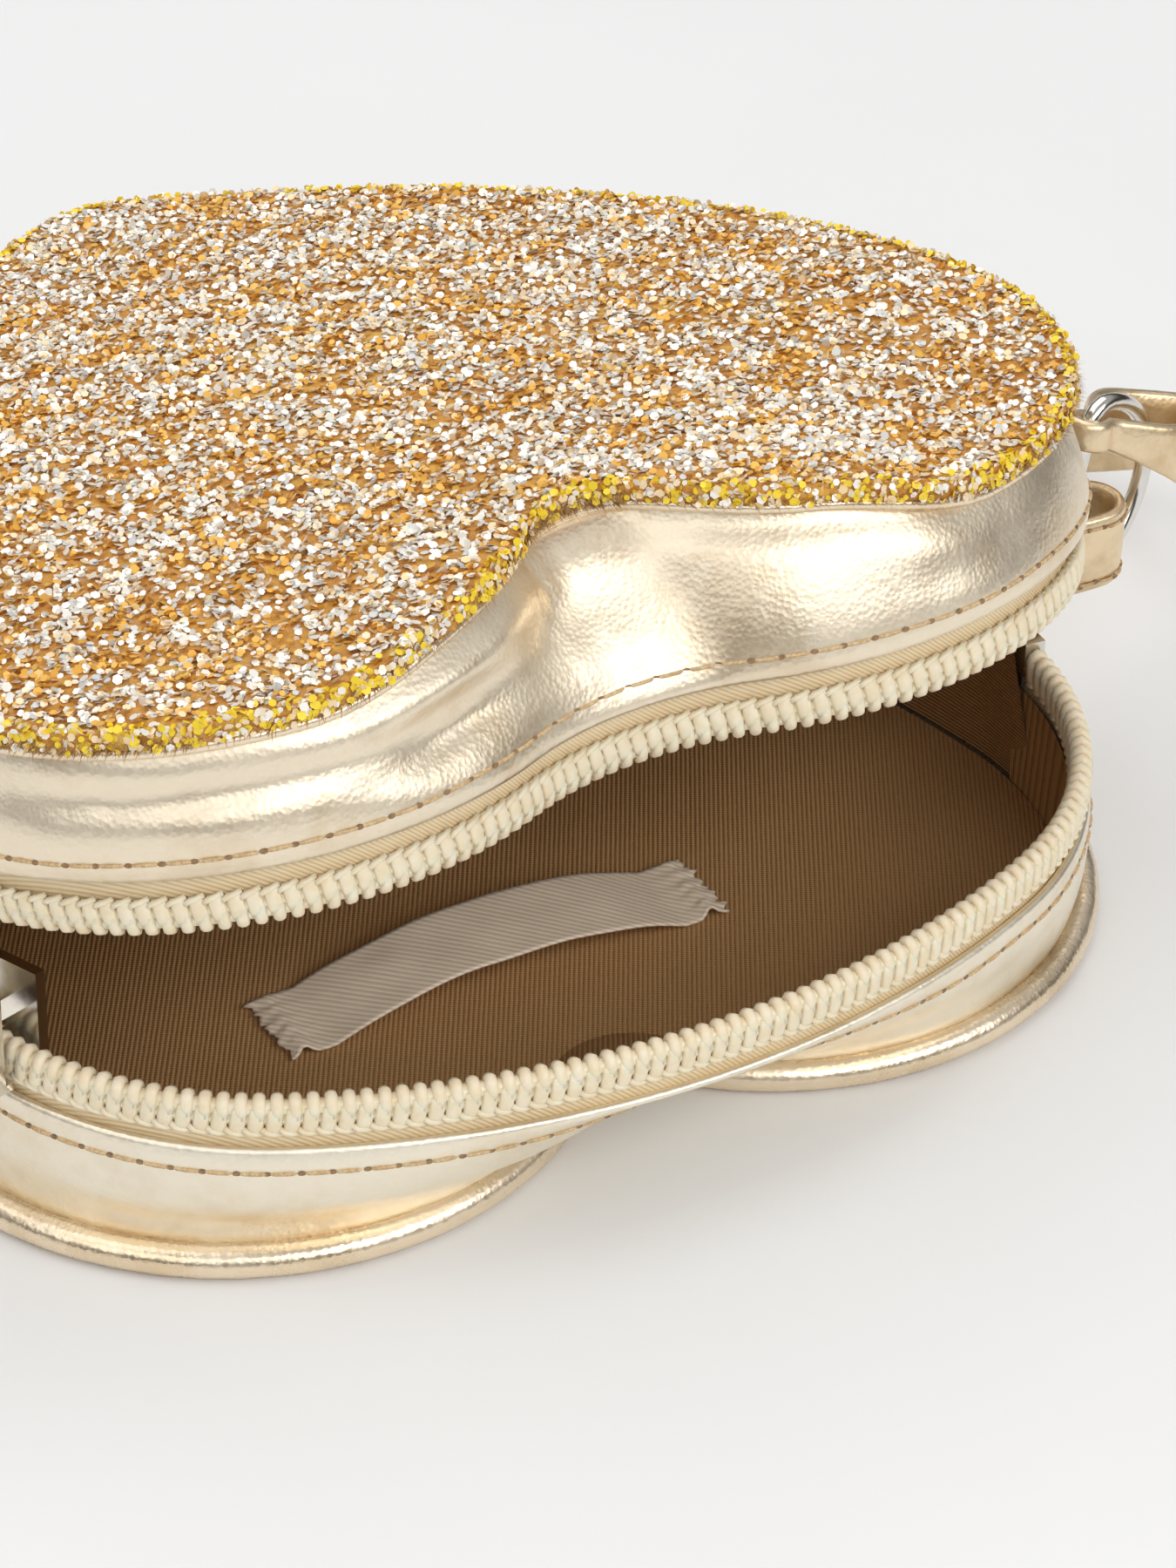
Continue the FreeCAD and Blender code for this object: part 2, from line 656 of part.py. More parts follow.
def side_set(name, side):
    """Tab, ring and strap end of one side; returns the frames of the tab and the ring."""
    tab_frame, ring_frame = side_frames(side, lower_height + size(f"{name}_tab_above_zip"))
    tab = doc.addObject("PartDesign::Body", f"{name}_tab")
    profile_pad(tab, f"{name}_tab_fold", "XY_Plane", tab_profile(), "sheet.tab_width", midplane=True)
    keep(tab, f"{name}_tab", tab_frame)
    ring = doc.addObject("PartDesign::Body", f"{name}_ring")
    path = new_sketch(ring, f"{name}_ring_path", "XZ_Plane")
    path.addGeometry(ring_path())
    section = new_sketch(ring, f"{name}_ring_section", "XY_Plane")
    round_section(section, CORD_SIDES, "ring_wire_radius", Vector())
    wire = ring.newObject("PartDesign::AdditivePipe", f"{name}_ring_wire")
    wire.Profile = section
    wire.Spine = path
    keep(ring, f"{name}_ring", ring_frame)
    end = doc.addObject("PartDesign::Body", f"{name}_strap_end")
    height = "sheet.strap_above_ring"
    fold = loop_profile()
    profile_pad(end, f"{name}_strap_fold", "XY_Plane", fold, "sheet.strap_width", height, midplane=True)
    keep(end, f"{name}_strap_end", ring_frame)
    return tab_frame, ring_frame


right_tab_frame, right_frame = side_set("right", 1)
left_tab_frame, left_frame = side_set("left", -1)


def with_notches(shape):
    """The bottom gusset, cut along the two tabs that pass through it."""
    touch = tangent_point(tab_end, tab_outer, 0, leather)
    flare = (touch.y - leather) / touch.x
    half = leather + gap
    wide = size("tab_width") / 2 + gap
    outline = [(-size("tab_tail"), half), (0, half), (tab_end, half + flare * tab_end)]
    outline += [(x, -y) for x, y in reversed(outline)]
    corners = [Vector(x, y, -wide) for x, y in outline]
    notch = Part.Face(Part.makePolygon(corners + corners[:1])).extrude(UP * (2 * wide))
    for frame in (right_tab_frame, left_tab_frame):
        notch.Placement = frame
        shape = shape.cut(notch)
    return shape


feature("bottom_gusset", with_notches(bottom_ply(0, leather)))
feature("bottom_gusset_lining", with_notches(bottom_ply(tape_ply, lining)))

# Zip slider on the lower chain at the left side, X outwards, Y along the chain, Z up.
slider_turn = 180 + size("slider_angle")
slider_spot = polar(Vector(-size("lower_rim_centre"), 0, 0), lower_rim_radius, slider_turn)
slider_spot.z = lower_height + size("mouth_gap") / 2
slider_frame = Placement(slider_spot, Rotation(UP, slider_turn))
nose = size("slider_length") / 2
flange = size("flange_thick")
slider_half = chain_height + size("mouth_gap") / 2 + size("pull_room") + flange
rear_half = slider_half * SLIDER_NOSE_SHARE
plate_outline = [(nose, slider_half), (-nose, rear_half), (-nose, -rear_half), (nose, -slider_half)]
post_end = nose - size("post_length")
post_half = size("post_thick") / 2
post_start = post_end - size("post_length")
post_outline = [(post_end, post_half), (post_start, post_half)]
post_outline += [(x, -y) for x, y in reversed(post_outline)]


def rail_outline():
    """The lower flange along the front half of a slider plate, which holds the slider on the lower tape."""
    foot = flange - slider_half
    return polygon([(nose, foot), (0, foot), (0, -slider_half), (nose, -slider_half)])


def bail_outline():
    """Arch on the outer plate, seen along the height."""
    plate_face = size("chain_thick") / 2 + size("slider_room") + size("slider_plate")
    wall = size("bail_wall")
    foot = size("bail_span") / 2
    crown = plate_face + size("bail_room") + wall
    half_arch = [(plate_face, foot), (crown - wall, foot), (crown, foot - wall)]
    bore = [(plate_face, foot - wall), (crown - wall, foot - wall)]
    mirror = [(x, -y) for x, y in reversed(half_arch)]
    return polygon(half_arch + mirror + [(x, -y) for x, y in bore] + bore[::-1])


channel = "sheet.chain_thick / 2 + sheet.slider_room"
slider = doc.addObject("PartDesign::Body", "zip_slider")
profile_pad(slider, "outer_plate", "YZ_Plane", polygon(plate_outline), "sheet.slider_plate", channel)
profile_pad(slider, "post", "YZ_Plane", polygon(post_outline), f"2 * ({channel})", f"-({channel})")
inner_face = f"-({channel} + sheet.slider_plate)"
profile_pad(slider, "inner_plate", "YZ_Plane", polygon(plate_outline), "sheet.slider_plate", inner_face)
outer_rail = f"{channel} - sheet.flange_depth"
profile_pad(slider, "outer_flange", "YZ_Plane", rail_outline(), "sheet.flange_depth", outer_rail)
profile_pad(slider, "inner_flange", "YZ_Plane", rail_outline(), "sheet.flange_depth", f"-({channel})")
profile_pad(slider, "bail", "XY_Plane", bail_outline(), "sheet.bail_width", midplane=True)
keep(slider, "zip_slider", slider_frame)


def pull_outline():
    """Flat pull with a round end and a slot that leaves a bar for the bail."""
    half = size("pull_width") / 2
    bar = size("pull_bar") / 2
    long = size("pull_length")
    slot = bar + size("pull_slot")
    slot_half = size("bail_width") / 2 + size("pull_room")
    near = [Vector(long - half, half, 0), Vector(-bar, half, 0)]
    corners = near + [Vector(c.x, -c.y, 0) for c in reversed(near)]
    sides = [Part.LineSegment(a, b) for a, b in zip(corners, corners[1:])]
    end = Part.Arc(corners[0], Vector(long, 0, 0), corners[3])
    eye = [(bar, slot_half), (slot, slot_half), (slot, -slot_half), (bar, -slot_half)]
    return sides + [end] + polygon(eye)


pull_radius = size("chain_thick") / 2 + size("slider_room") + size("slider_plate")
pull_radius += size("pull_room") + size("pull_bar") / 2
pull = doc.addObject("PartDesign::Body", "zip_pull")
profile_pad(pull, "pull_plate", "XZ_Plane", pull_outline(), "sheet.pull_bar", midplane=True)
keep(pull, "zip_pull", slider_frame.multiply(Placement(Vector(pull_radius, 0, 0), Rotation())))

# Strap: a flat band on edge, from the right strap end through a wound coil to the left one.
strap_floor = strap_width / 2


def rounded(points):
    """Straight runs through the points, with a tangent arc at each corner."""
    edges = []
    last = points[0]
    for before, corner, after in zip(points, points[1:], points[2:]):
        back = before - corner
        ahead = after - corner
        cut = CORNER_SHARE * min(back.Length, ahead.Length)
        half_turn = (math.pi - back.getAngle(ahead)) / 2
        back.normalize()
        ahead.normalize()
        radius = cut / math.tan(half_turn)
        middle = (back + ahead).normalize() * (radius / math.cos(half_turn) - radius)
        edges.append(Part.makeLine(last, corner + back * cut))
        edges.append(Part.Arc(corner + back * cut, corner + middle, corner + ahead * cut).toShape())
        strap_radii.append(radius)
        last = corner + ahead * cut
    return edges + [Part.makeLine(last, points[-1])]


def coil_edges():
    """Half turns inwards on the floor, one half turn that climbs, half turns outwards on top, a quarter."""
    step = size("coil_pitch") / 2
    point = Vector(size("coil_x") + size("coil_radius"), size("coil_y"), strap_floor)
    inwards = [size("coil_radius") - step * k for k in range(COIL_HALF_TURNS + 1)]
    radii = inwards + inwards[-2:0:-1]
    edges = []
    for index, radius in enumerate(radii):
        side = 1 if index % 2 == 0 else -1
        rise = size("layer_step") if index == COIL_HALF_TURNS else 0
        far = point + Vector(-2 * side * radius, 0, rise)
        middle = (point + far) * 0.5 + Vector(0, side * (far - point).Length / 2, 0)
        edges.append(Part.Arc(point, middle, far).toShape())
        point = far
        strap_radii.append(radius)
    last = size("coil_radius")
    hub = point - Vector(last, 0, 0)
    quarter = Part.Arc(point, hub + Vector(last, last, 0) * math.sqrt(0.5), hub + Vector(0, last, 0))
    edges.append(quarter.toShape())
    return edges


def least_gap(edges):
    """Smallest room between turns of the coil, measured on points half a turn or more apart."""
    points = [p for edge in edges for p in edge.discretize(Number=POINTS_PER_HALF_TURN)]
    rooms = []
    for index, first in enumerate(points):
        for second in points[index + POINTS_PER_HALF_TURN:]:
            beside = math.hypot(first.x - second.x, first.y - second.y) - strap_thick
            above = abs(first.z - second.z) - strap_width
            rooms.append(max(beside, above))
    return min(rooms)


def strap_solid(edges):
    """Sweep the strap's section along a path, its width kept upright."""
    path = Part.Wire(edges)
    start = path.Edges[0].firstVertex(True).Point
    ahead = path.Edges[0].tangentAt(path.Edges[0].FirstParameter)
    across = UP.cross(ahead).normalize() * (strap_thick / 2)
    up = UP * (strap_width / 2)
    corners = [start + across + up, start - across + up, start - across - up, start + across - up]
    sweep = Part.BRepOffsetAPI.MakePipeShell(path)
    sweep.setBiNormalMode(UP)
    sweep.add(Part.makePolygon(corners + corners[:1]))
    sweep.build()
    sweep.makeSolid()
    return sweep.shape()


def tail_points(frame):
    """Start of a strap run just past the strap end, and its first corner, both on the end's axis."""
    reach = size("strap_loop_length") + size("strap_tail_length") + gap
    reach += strap_width / 2 * math.tan(math.radians(size("ring_lean"))) + size("pull_room")
    level = size("strap_above_ring")
    return [frame.multVec(Vector(x, 0, level)) for x in (reach, reach + size("strap_lead"))]


def way_points(shares, height):
    """Points of a run, from shares of the purse's length and of the height of the run's end."""
    reach = size("tip_reach")
    rise = height - strap_floor
    return [Vector(x * reach, y * reach, strap_floor + z * rise) for x, y, z in shares]


strap_radii = []
coil = coil_edges()
coil_start = coil[0].firstVertex(True).Point
coil_end = coil[-1].lastVertex(True).Point
lead = size("strap_lead")
right_tail = tail_points(right_frame)
left_tail = tail_points(left_frame)
into_coil = [coil_start - Vector(0, lead, 0), coil_start - Vector(0, gap, 0)]
out_of_coil = [coil_end - Vector(gap, 0, 0), coil_end - Vector(lead, 0, 0)]
right_run = right_tail + way_points(RIGHT_RUN_SHARES, right_tail[0].z) + into_coil
left_run = out_of_coil + way_points(LEFT_RUN_SHARES, left_tail[0].z) + left_tail[::-1]
strap_length = 0
paths = {"strap_right_run": rounded(right_run), "strap_coil": coil, "strap_left_run": rounded(left_run)}
for name, path in paths.items():
    feature(name, strap_solid(path))
    strap_length += sum(edge.Length for edge in path)
print("strap length", round(strap_length, 1), "smallest bend", round(min(strap_radii), 1))
print("least gap between turns of the coil", round(least_gap(coil), 2))

# Checks and files.
doc.recompute()
for obj in doc.Objects:
    if "Invalid" in obj.State or "Error" in obj.State:
        raise RuntimeError(f"{obj.Name}: {obj.State}")
os.makedirs("parts", exist_ok=True)
for obj in parts:
    if obj.Shape.isNull() or not obj.Shape.isValid():
        raise RuntimeError(f"{obj.Label}: shape not valid")
    obj.Shape.exportStep(f"parts/{obj.Label}.step")
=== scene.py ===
import math
import random

import bpy
from mathutils import Matrix, Vector, noise


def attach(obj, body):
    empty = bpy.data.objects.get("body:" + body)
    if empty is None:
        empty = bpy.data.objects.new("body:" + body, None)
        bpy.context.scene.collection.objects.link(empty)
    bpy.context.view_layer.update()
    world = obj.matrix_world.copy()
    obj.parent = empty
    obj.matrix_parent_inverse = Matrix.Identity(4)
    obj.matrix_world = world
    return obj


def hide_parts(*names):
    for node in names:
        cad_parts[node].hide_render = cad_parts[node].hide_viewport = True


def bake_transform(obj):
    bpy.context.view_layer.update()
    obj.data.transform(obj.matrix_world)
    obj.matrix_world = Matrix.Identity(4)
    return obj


# Heart shaped purse, lying on its back panel with the zip undone.
# Lengths below are in millimetres, in the frame of the CAD model. MM turns them into metres.
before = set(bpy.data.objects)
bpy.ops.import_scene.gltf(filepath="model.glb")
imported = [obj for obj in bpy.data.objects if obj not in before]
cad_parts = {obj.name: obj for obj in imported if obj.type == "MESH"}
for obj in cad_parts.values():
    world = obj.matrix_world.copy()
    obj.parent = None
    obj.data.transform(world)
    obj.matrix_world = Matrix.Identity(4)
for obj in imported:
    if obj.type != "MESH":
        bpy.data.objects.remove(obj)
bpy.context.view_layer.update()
MM = 0.001
UP = Vector((0, 0, 1))
dice = random.Random(7)

# Heart outline and zip lines, as in the CAD model.
LOBE_R, LOBE_X, TIP_Y, TIP_R, SIDE_R, CLEFT_R = 34.8, 30.1, 96.9, 11.3, 137.8, 6.0
LOWER_TOP, MOUTH_GAP, UPPER_HEIGHT = 22.1, 1.4, 21.8
CHAIN, TAPE_SHOW, TOOTH_PITCH, ZIP_END = 4.0, 1.5, 1.65, 3.0
PANEL_Z = LOWER_TOP + MOUTH_GAP + UPPER_HEIGHT
LOWER_FOLD = LOWER_TOP - CHAIN - TAPE_SHOW
UPPER_TEETH = LOWER_TOP + MOUTH_GAP
UPPER_FOLD = UPPER_TEETH + CHAIN + TAPE_SHOW
PANEL_INSET = 1.0
RIM_OUT = 1.35

# The front half turns about this line.
HINGE = Vector((-17.614, 54.21, LOWER_TOP))
HINGE_AXIS = Vector((-0.951057, -0.309017, 0))
OPENING = Matrix.Rotation(math.radians(11.5), 4, HINGE_AXIS)
LID = Matrix.Translation(HINGE) @ OPENING @ Matrix.Translation(-HINGE)
ROOT = Matrix.Identity(4)


def polar(centre, radius, degrees):
    angle = math.radians(degrees)
    return Vector((centre.x + radius * math.cos(angle), centre.y + radius * math.sin(angle), 0))


def heading(vector):
    return math.degrees(math.atan2(vector.y, vector.x))


def heart_centres():
    """Centres of the right lobe, right side and tip arcs."""
    lobe = Vector((LOBE_X, 0, 0))
    tip = Vector((0, TIP_Y - TIP_R, 0))
    span = tip - lobe
    to_lobe, to_tip = SIDE_R - LOBE_R, SIDE_R - TIP_R
    along = (to_lobe**2 - to_tip**2 + span.length_squared) / (2 * span.length)
    across = math.sqrt(to_lobe**2 - along**2)
    unit = span.normalized()
    return lobe, lobe + unit * along + Vector((-unit.y, unit.x, 0)) * across, tip


LOBE, SIDE, TIP = heart_centres()
SIDE_DEG = heading(LOBE - SIDE)
TIP_DEG = heading(TIP - SIDE)
LOBE_STEPS = (34, 16, 14)
TIP_STEPS = (8, 40, 12)


def trace(arcs, steps):
    """Points along arcs given for the right half, then along their mirror image."""
    half = []
    for (centre, radius, start, end), count in zip(arcs, steps):
        half += [polar(centre, radius, start + (end - start) * k / count) for k in range(count)]
    centre, radius, _, end = arcs[-1]
    middle = polar(centre, radius, end)
    return half + [middle] + [Vector((-p.x, p.y, 0)) for p in reversed(half)]


def cleft_line(lobe, centre, cleft, offset, end_gap):
    """Line over the lobes from right to left with a cleft."""
    hub = Vector((centre, 0, 0))
    middle = Vector((0, -math.sqrt((lobe + cleft) ** 2 - centre**2), 0))
    end = -math.degrees(math.asin(end_gap / (lobe + offset)))
    turn = heading(hub - middle)
    split = -66
    arcs = [
        (hub, lobe + offset, end, split),
        (hub, lobe + offset, split, turn - 180),
        (middle, cleft - offset, turn, 90),
    ]
    return trace(arcs, LOBE_STEPS)


def back_line(offset, end_gap=0.0):
    return cleft_line(LOBE_R, LOBE_X, CLEFT_R, offset, end_gap)


def upper_rim(offset, end_gap=0.3):
    return cleft_line(34.5, 28.0, 28.0, offset, end_gap)


def lower_rim(offset, end_gap=0.3):
    """Lower zip line from right to left, full across the front."""
    lobe, centre, bulge = 37.0, 25.5, 5.5
    hub = Vector((centre, 0, 0))
    middle = Vector((0, (centre**2 - bulge**2) / (2 * bulge), 0))
    radius = (hub - middle).length + lobe + offset
    end = -math.degrees(math.asin(end_gap / (lobe + offset)))
    turn = heading(hub - middle)
    split = -90 + (turn + 90) * 0.12
    arcs = [
        (hub, lobe + offset, end, turn),
        (middle, radius, turn, split),
        (middle, radius, split, -90),
    ]
    return trace(arcs, LOBE_STEPS)


def tip_line(offset):
    """Line of the back seam from right to left round the tip."""
    arcs = [
        (LOBE, LOBE_R + offset, 0, SIDE_DEG),
        (SIDE, SIDE_R + offset, SIDE_DEG, TIP_DEG),
        (TIP, TIP_R + offset, TIP_DEG, 90),
    ]
    return trace(arcs, TIP_STEPS)


def outline(offset):
    """The whole heart, anticlockwise from the right end of the lobes."""
    return tip_line(offset) + back_line(offset)[-2:0:-1]


def raised(line, level):
    """A level line at another height."""
    return [Vector((p.x, p.y, level)) for p in line]


def outward(points):
    """Level unit normals of a line that runs clockwise, as the zip lines do."""
    normals = []
    last = len(points) - 1
    for k in range(len(points)):
        along = points[min(k + 1, last)] - points[max(k - 1, 0)]
        normals.append(Vector((-along.y, along.x, 0)).normalized())
    return normals


def wave(x, y, z, size):
    """Smooth noise of about the given size in millimetres, from -1 to 1."""
    return noise.noise(Vector((x, y, z)) / size)


def bump_at(p, spot, reach):
    """A soft hump of height 1 at a level spot."""
    return math.exp(-((p.x - spot[0]) / reach[0]) ** 2 - ((p.y - spot[1]) / reach[1]) ** 2)


def ease(value):
    """Smooth step from 0 to 1."""
    share = min(1, max(0, value))
    return share * share * (3 - 2 * share)


def tuck(p):
    """How far the soft side wall is drawn in at the right seam."""
    return Vector((-3.6 * bump_at(p, (66, -2), (12, 17)), 0, 0))


def settle(p):
    """How far the soft front panel lies from its flat place: raised at the cleft, its lobes hanging."""
    cleft = 2.4 * bump_at(p, (5, -24), (16, 12))
    right_hang = 3.9 * ease((p.x - 20) / 20) * math.exp(-((max(p.y, -28) + 28) / 33) ** 2)
    left_hang = ease((-p.x - 14) / 20) * math.exp(-((max(p.y, -30) + 30) / 30) ** 2)
    crown = 1.2 * bump_at(p, (0, 30), (46, 46))
    return Vector((0, -2.0 * left_hang, cleft + crown - right_hang - 1.7 * left_hang))


def mesh_object(name, points, faces, material, smooth=True):
    mesh = bpy.data.meshes.new(name)
    mesh.from_pydata([p * MM for p in points], [], faces)
    mesh.materials.append(material)
    mesh.polygons.foreach_set("use_smooth", [smooth] * len(faces))
    obj = bpy.data.objects.new(name, mesh)
    bpy.context.scene.collection.objects.link(obj)
    return obj


def grid_faces(rows, columns, closed=False, start=0):
    """Quads between neighbouring rows of points."""
    wide = columns if closed else columns - 1
    faces = []
    for r in range(rows - 1):
        for c in range(wide):
            a = start + r * columns + c
            b = start + r * columns + (c + 1) % columns
            faces.append((a, b, b + columns, a + columns))
    return faces


def flatten(rows):
    return [p for row in rows for p in row]


def grid_object(name, rows, material):
    return mesh_object(name, flatten(rows), grid_faces(len(rows), len(rows[0])), material)


def thicken(obj, thickness):
    """Give a sheet its thickness, in millimetres, half to each side."""
    solid = obj.modifiers.new("thickness", "SOLIDIFY")
    solid.thickness = thickness * MM
    solid.offset = 0
    return obj


def tube_points(path, radius, sides, closed=False, flat=1.0, side=None):
    """Rings of points round a path, flattened across the side that is given."""
    rings = []
    count = len(path)
    turns = [2 * math.pi * s / sides for s in range(sides)]
    for k, p in enumerate(path):
        before = path[k - 1] if closed or k else path[0]
        after = path[(k + 1) % count] if closed or k < count - 1 else path[-1]
        along = (after - before).normalized()
        side = along.cross(UP) if side is None else side - along * side.dot(along)
        if side.length < 1e-6:
            side = along.orthogonal()
        side = side.normalized() * radius
        up = side.cross(along) * flat
        rings.append([p + side * math.cos(a) + up * math.sin(a) for a in turns])
    return rings


def loop_faces(rings, sides):
    """Faces of a tube whose last ring joins its first."""
    last = (rings - 1) * sides
    faces = grid_faces(rings, sides, True)
    return faces + [(last + s, last + (s + 1) % sides, (s + 1) % sides, s) for s in range(sides)]


def capped_faces(rings, sides, start=0):
    """Faces of a tube with a cap at both ends."""
    end = start + rings * sides
    caps = [tuple(range(start + sides - 1, start - 1, -1)), tuple(range(end - sides, end))]
    return grid_faces(rings, sides, True, start) + caps


def loop_object(name, path, radius, sides, material):
    """Tube round a closed path."""
    rings = tube_points(path, radius, sides, True)
    return mesh_object(name, flatten(rings), loop_faces(len(rings), sides), material)


class Heap:
    """Gathers many small tubes or plates into one mesh."""

    def __init__(self):
        self.points = []
        self.faces = []

    def add_tube(self, path, radius, sides, flat=1.0, side=None):
        rings = tube_points(path, radius, sides, False, flat, side)
        self.faces += capped_faces(len(rings), sides, len(self.points))
        self.points += flatten(rings)

    def add_plate(self, points):
        start = len(self.points)
        self.points += points
        self.faces.append(tuple(range(start, start + len(points))))

    def make(self, name, material, smooth=True):
        return mesh_object(name, self.points, self.faces, material, smooth)


def along_line(points, pitch, start=0.0):
    """Places at even steps along a line of points, with the direction there."""
    places = []
    left = start
    for a, b in zip(points, points[1:]):
        step = b - a
        while left <= step.length:
            places.append((a + step * (left / step.length), step.normalized()))
            left += pitch
        left -= step.length
    return places


# Materials.
def new_material(name, base, rough, metal=0.0):
    material = bpy.data.materials.new(name)
    material.use_nodes = True
    shader = material.node_tree.nodes["Principled BSDF"]
    shader.inputs["Base Color"].default_value = (*base, 1)
    shader.inputs["Roughness"].default_value = rough
    shader.inputs["Metallic"].default_value = metal
    return material


class Painter:
    """Adds nodes to one material."""

    def __init__(self, material):
        self.tree = material.node_tree
        self.shader = self.tree.nodes["Principled BSDF"]
        self.place = self.tree.nodes.new("ShaderNodeTexCoord").outputs["Object"]

    def node(self, kind, **settings):
        made = self.tree.nodes.new(kind)
        for key, value in settings.items():
            setattr(made, key, value)
        return made

    def link(self, source, target):
        self.tree.links.new(source, target)

    def mapped(self, setting, value, vector=None):
        mapping = self.node("ShaderNodeMapping")
        mapping.inputs[setting].default_value = value
        self.link(vector or self.place, mapping.inputs["Vector"])
        return mapping.outputs["Vector"]

    def stretched(self, scale, vector=None):
        return self.mapped("Scale", scale, vector)

    def turned(self, degrees):
        """Object coordinates turned about Z."""
        return self.mapped("Rotation", (0, 0, math.radians(degrees)))

    def noise(self, size, detail=3.0, rough=0.55, vector=None):
        """Noise with features of about size millimetres."""
        made = self.node("ShaderNodeTexNoise")
        made.inputs["Scale"].default_value = 1 / (size * MM)
        made.inputs["Detail"].default_value = detail
        made.inputs["Roughness"].default_value = rough
        self.link(vector or self.place, made.inputs["Vector"])
        return made.outputs["Fac"]

    def cells(self, size):
        """Round cells of about size millimetres."""
        made = self.node("ShaderNodeTexVoronoi")
        made.inputs["Scale"].default_value = 1 / (size * MM)
        self.link(self.place, made.inputs["Vector"])
        return made.outputs["Distance"]

    def ribs(self, pitch, direction, distort, vector=None):
        """Bands at a pitch in millimetres."""
        made = self.node("ShaderNodeTexWave", bands_direction=direction)
        made.inputs["Scale"].default_value = 0.314 / (pitch * MM)
        made.inputs["Distortion"].default_value = distort
        self.link(vector or self.place, made.inputs["Vector"])
        return made.outputs["Fac"]

    def ramp(self, value, stops, smooth=False):
        made = self.node("ShaderNodeValToRGB")
        ramp = made.color_ramp
        ramp.interpolation = "EASE" if smooth else "LINEAR"
        while len(ramp.elements) < len(stops):
            ramp.elements.new(0.5)
        for element, (spot, colour) in zip(ramp.elements, stops):
            element.position = spot
            element.color = (*colour, 1)
        self.link(value, made.inputs["Fac"])
        return made.outputs["Color"]

    def grey(self, value, low, high, start=0.0, end=1.0):
        made = self.node("ShaderNodeMapRange")
        for name, number in (("From Min", start), ("From Max", end), ("To Min", low), ("To Max", high)):
            made.inputs[name].default_value = number
        self.link(value, made.inputs["Value"])
        return made.outputs["Result"]

    def mix(self, factor, source, tone):
        """Blend from a colour source to a plain tone."""
        made = self.node("ShaderNodeMix", data_type="RGBA")
        self.link(factor, made.inputs[0])
        self.link(source, made.inputs[6])
        made.inputs[7].default_value = (*tone, 1)
        return made.outputs[2]

    def add(self, first, second, share=1.0):
        """First value plus a share of the second."""
        made = self.node("ShaderNodeMath", operation="MULTIPLY_ADD")
        made.inputs[1].default_value = share
        self.link(second, made.inputs[0])
        self.link(first, made.inputs[2])
        return made.outputs[0]

    def bump(self, height, depth, strength):
        """Bump of about depth millimetres."""
        made = self.node("ShaderNodeBump")
        made.inputs["Strength"].default_value = strength
        made.inputs["Distance"].default_value = depth * MM
        self.link(height, made.inputs["Height"])
        self.link(made.outputs["Normal"], self.shader.inputs["Normal"])

    def colour(self, source):
        self.link(source, self.shader.inputs["Base Color"])

    def rough(self, source):
        self.link(source, self.shader.inputs["Roughness"])

    def set(self, **values):
        for key, value in values.items():
            self.shader.inputs[key.replace("_", " ").title()].default_value = value


def foil_leather(name, light, dark, rough, crease):
    """Metallic leatherette: soft gloss, fine grain, and patches of small creases where it was bent, with
    painted shade darkening the creases.
    """
    material = new_material(name, light, rough, 0.9)
    paint = Painter(material)
    grain = paint.cells(0.5)
    patches = paint.noise(11, 4)
    wear = paint.noise(1.9, 5)
    bent = paint.grey(paint.noise(17, 2), 0.0, 1.0, 0.55, 0.72)
    creases = paint.node("ShaderNodeMath", operation="MULTIPLY")
    paint.link(bent, creases.inputs[0])
    paint.link(paint.noise(1.0, 4, 0.65, paint.stretched((1, 1, 0.35))), creases.inputs[1])
    tone = paint.ramp(paint.add(patches, wear, 0.3), [(0.42, dark), (0.74, light)], True)
    # Painted shade: the colour goes over to a darker tone along the creases.
    shade = tuple(c * 0.72 for c in dark)
    paint.colour(paint.mix(paint.grey(creases.outputs[0], 0.0, 0.7, 0.2, 0.7), tone, shade))
    paint.rough(paint.grey(paint.add(patches, grain, 0.25), rough - 0.05, rough + 0.1, 0.3, 0.9))
    folds = paint.noise(3.4, 3, 0.45, paint.stretched((1, 1, 0.4)))
    height = paint.add(paint.add(grain, folds, crease), wear, 0.5)
    paint.bump(paint.add(height, creases.outputs[0], 4.0), 0.1, 0.3)
    paint.set(coat_weight=0.1, coat_roughness=0.3)
    return material


def glitter_base():
    """Fuzzy amber backing between the flakes."""
    material = new_material("glitter_backing", (0.70, 0.34, 0.06), 0.6)
    paint = Painter(material)
    fibre = paint.noise(0.5, 5, 0.7)
    patch = paint.noise(5, 3)
    stops = [(0.35, (0.80, 0.38, 0.04)), (0.55, (0.66, 0.26, 0.02)), (0.75, (0.88, 0.54, 0.08))]
    amber = paint.ramp(patch, stops)
    paint.colour(paint.mix(paint.grey(fibre, 0.0, 0.35, 0.4, 0.75), amber, (0.93, 0.74, 0.42)))
    paint.bump(paint.add(fibre, paint.cells(0.8)), 0.45, 0.9)
    return material


def flake_material():
    """Glitter flakes. Each one's tint, from 0 to 1, is stored on the mesh."""
    material = new_material("glitter_flakes", (0.9, 0.86, 0.78), 0.3, 0.2)
    paint = Painter(material)
    tint = paint.node("ShaderNodeAttribute", attribute_name="tint").outputs["Fac"]
    stops = [
        (0.0, (0.97, 0.95, 0.89)),
        (0.36, (0.92, 0.88, 0.79)),
        (0.40, (0.97, 0.82, 0.58)),
        (0.60, (0.94, 0.70, 0.38)),
        (0.64, (0.88, 0.52, 0.10)),
        (0.82, (0.78, 0.39, 0.05)),
        (0.86, (0.60, 0.61, 0.62)),
        (0.93, (0.70, 0.70, 0.68)),
        (0.95, (0.95, 0.70, 0.04)),
    ]
    paint.colour(paint.ramp(tint, stops))
    paint.rough(paint.grey(tint, 0.22, 0.45))
    return material


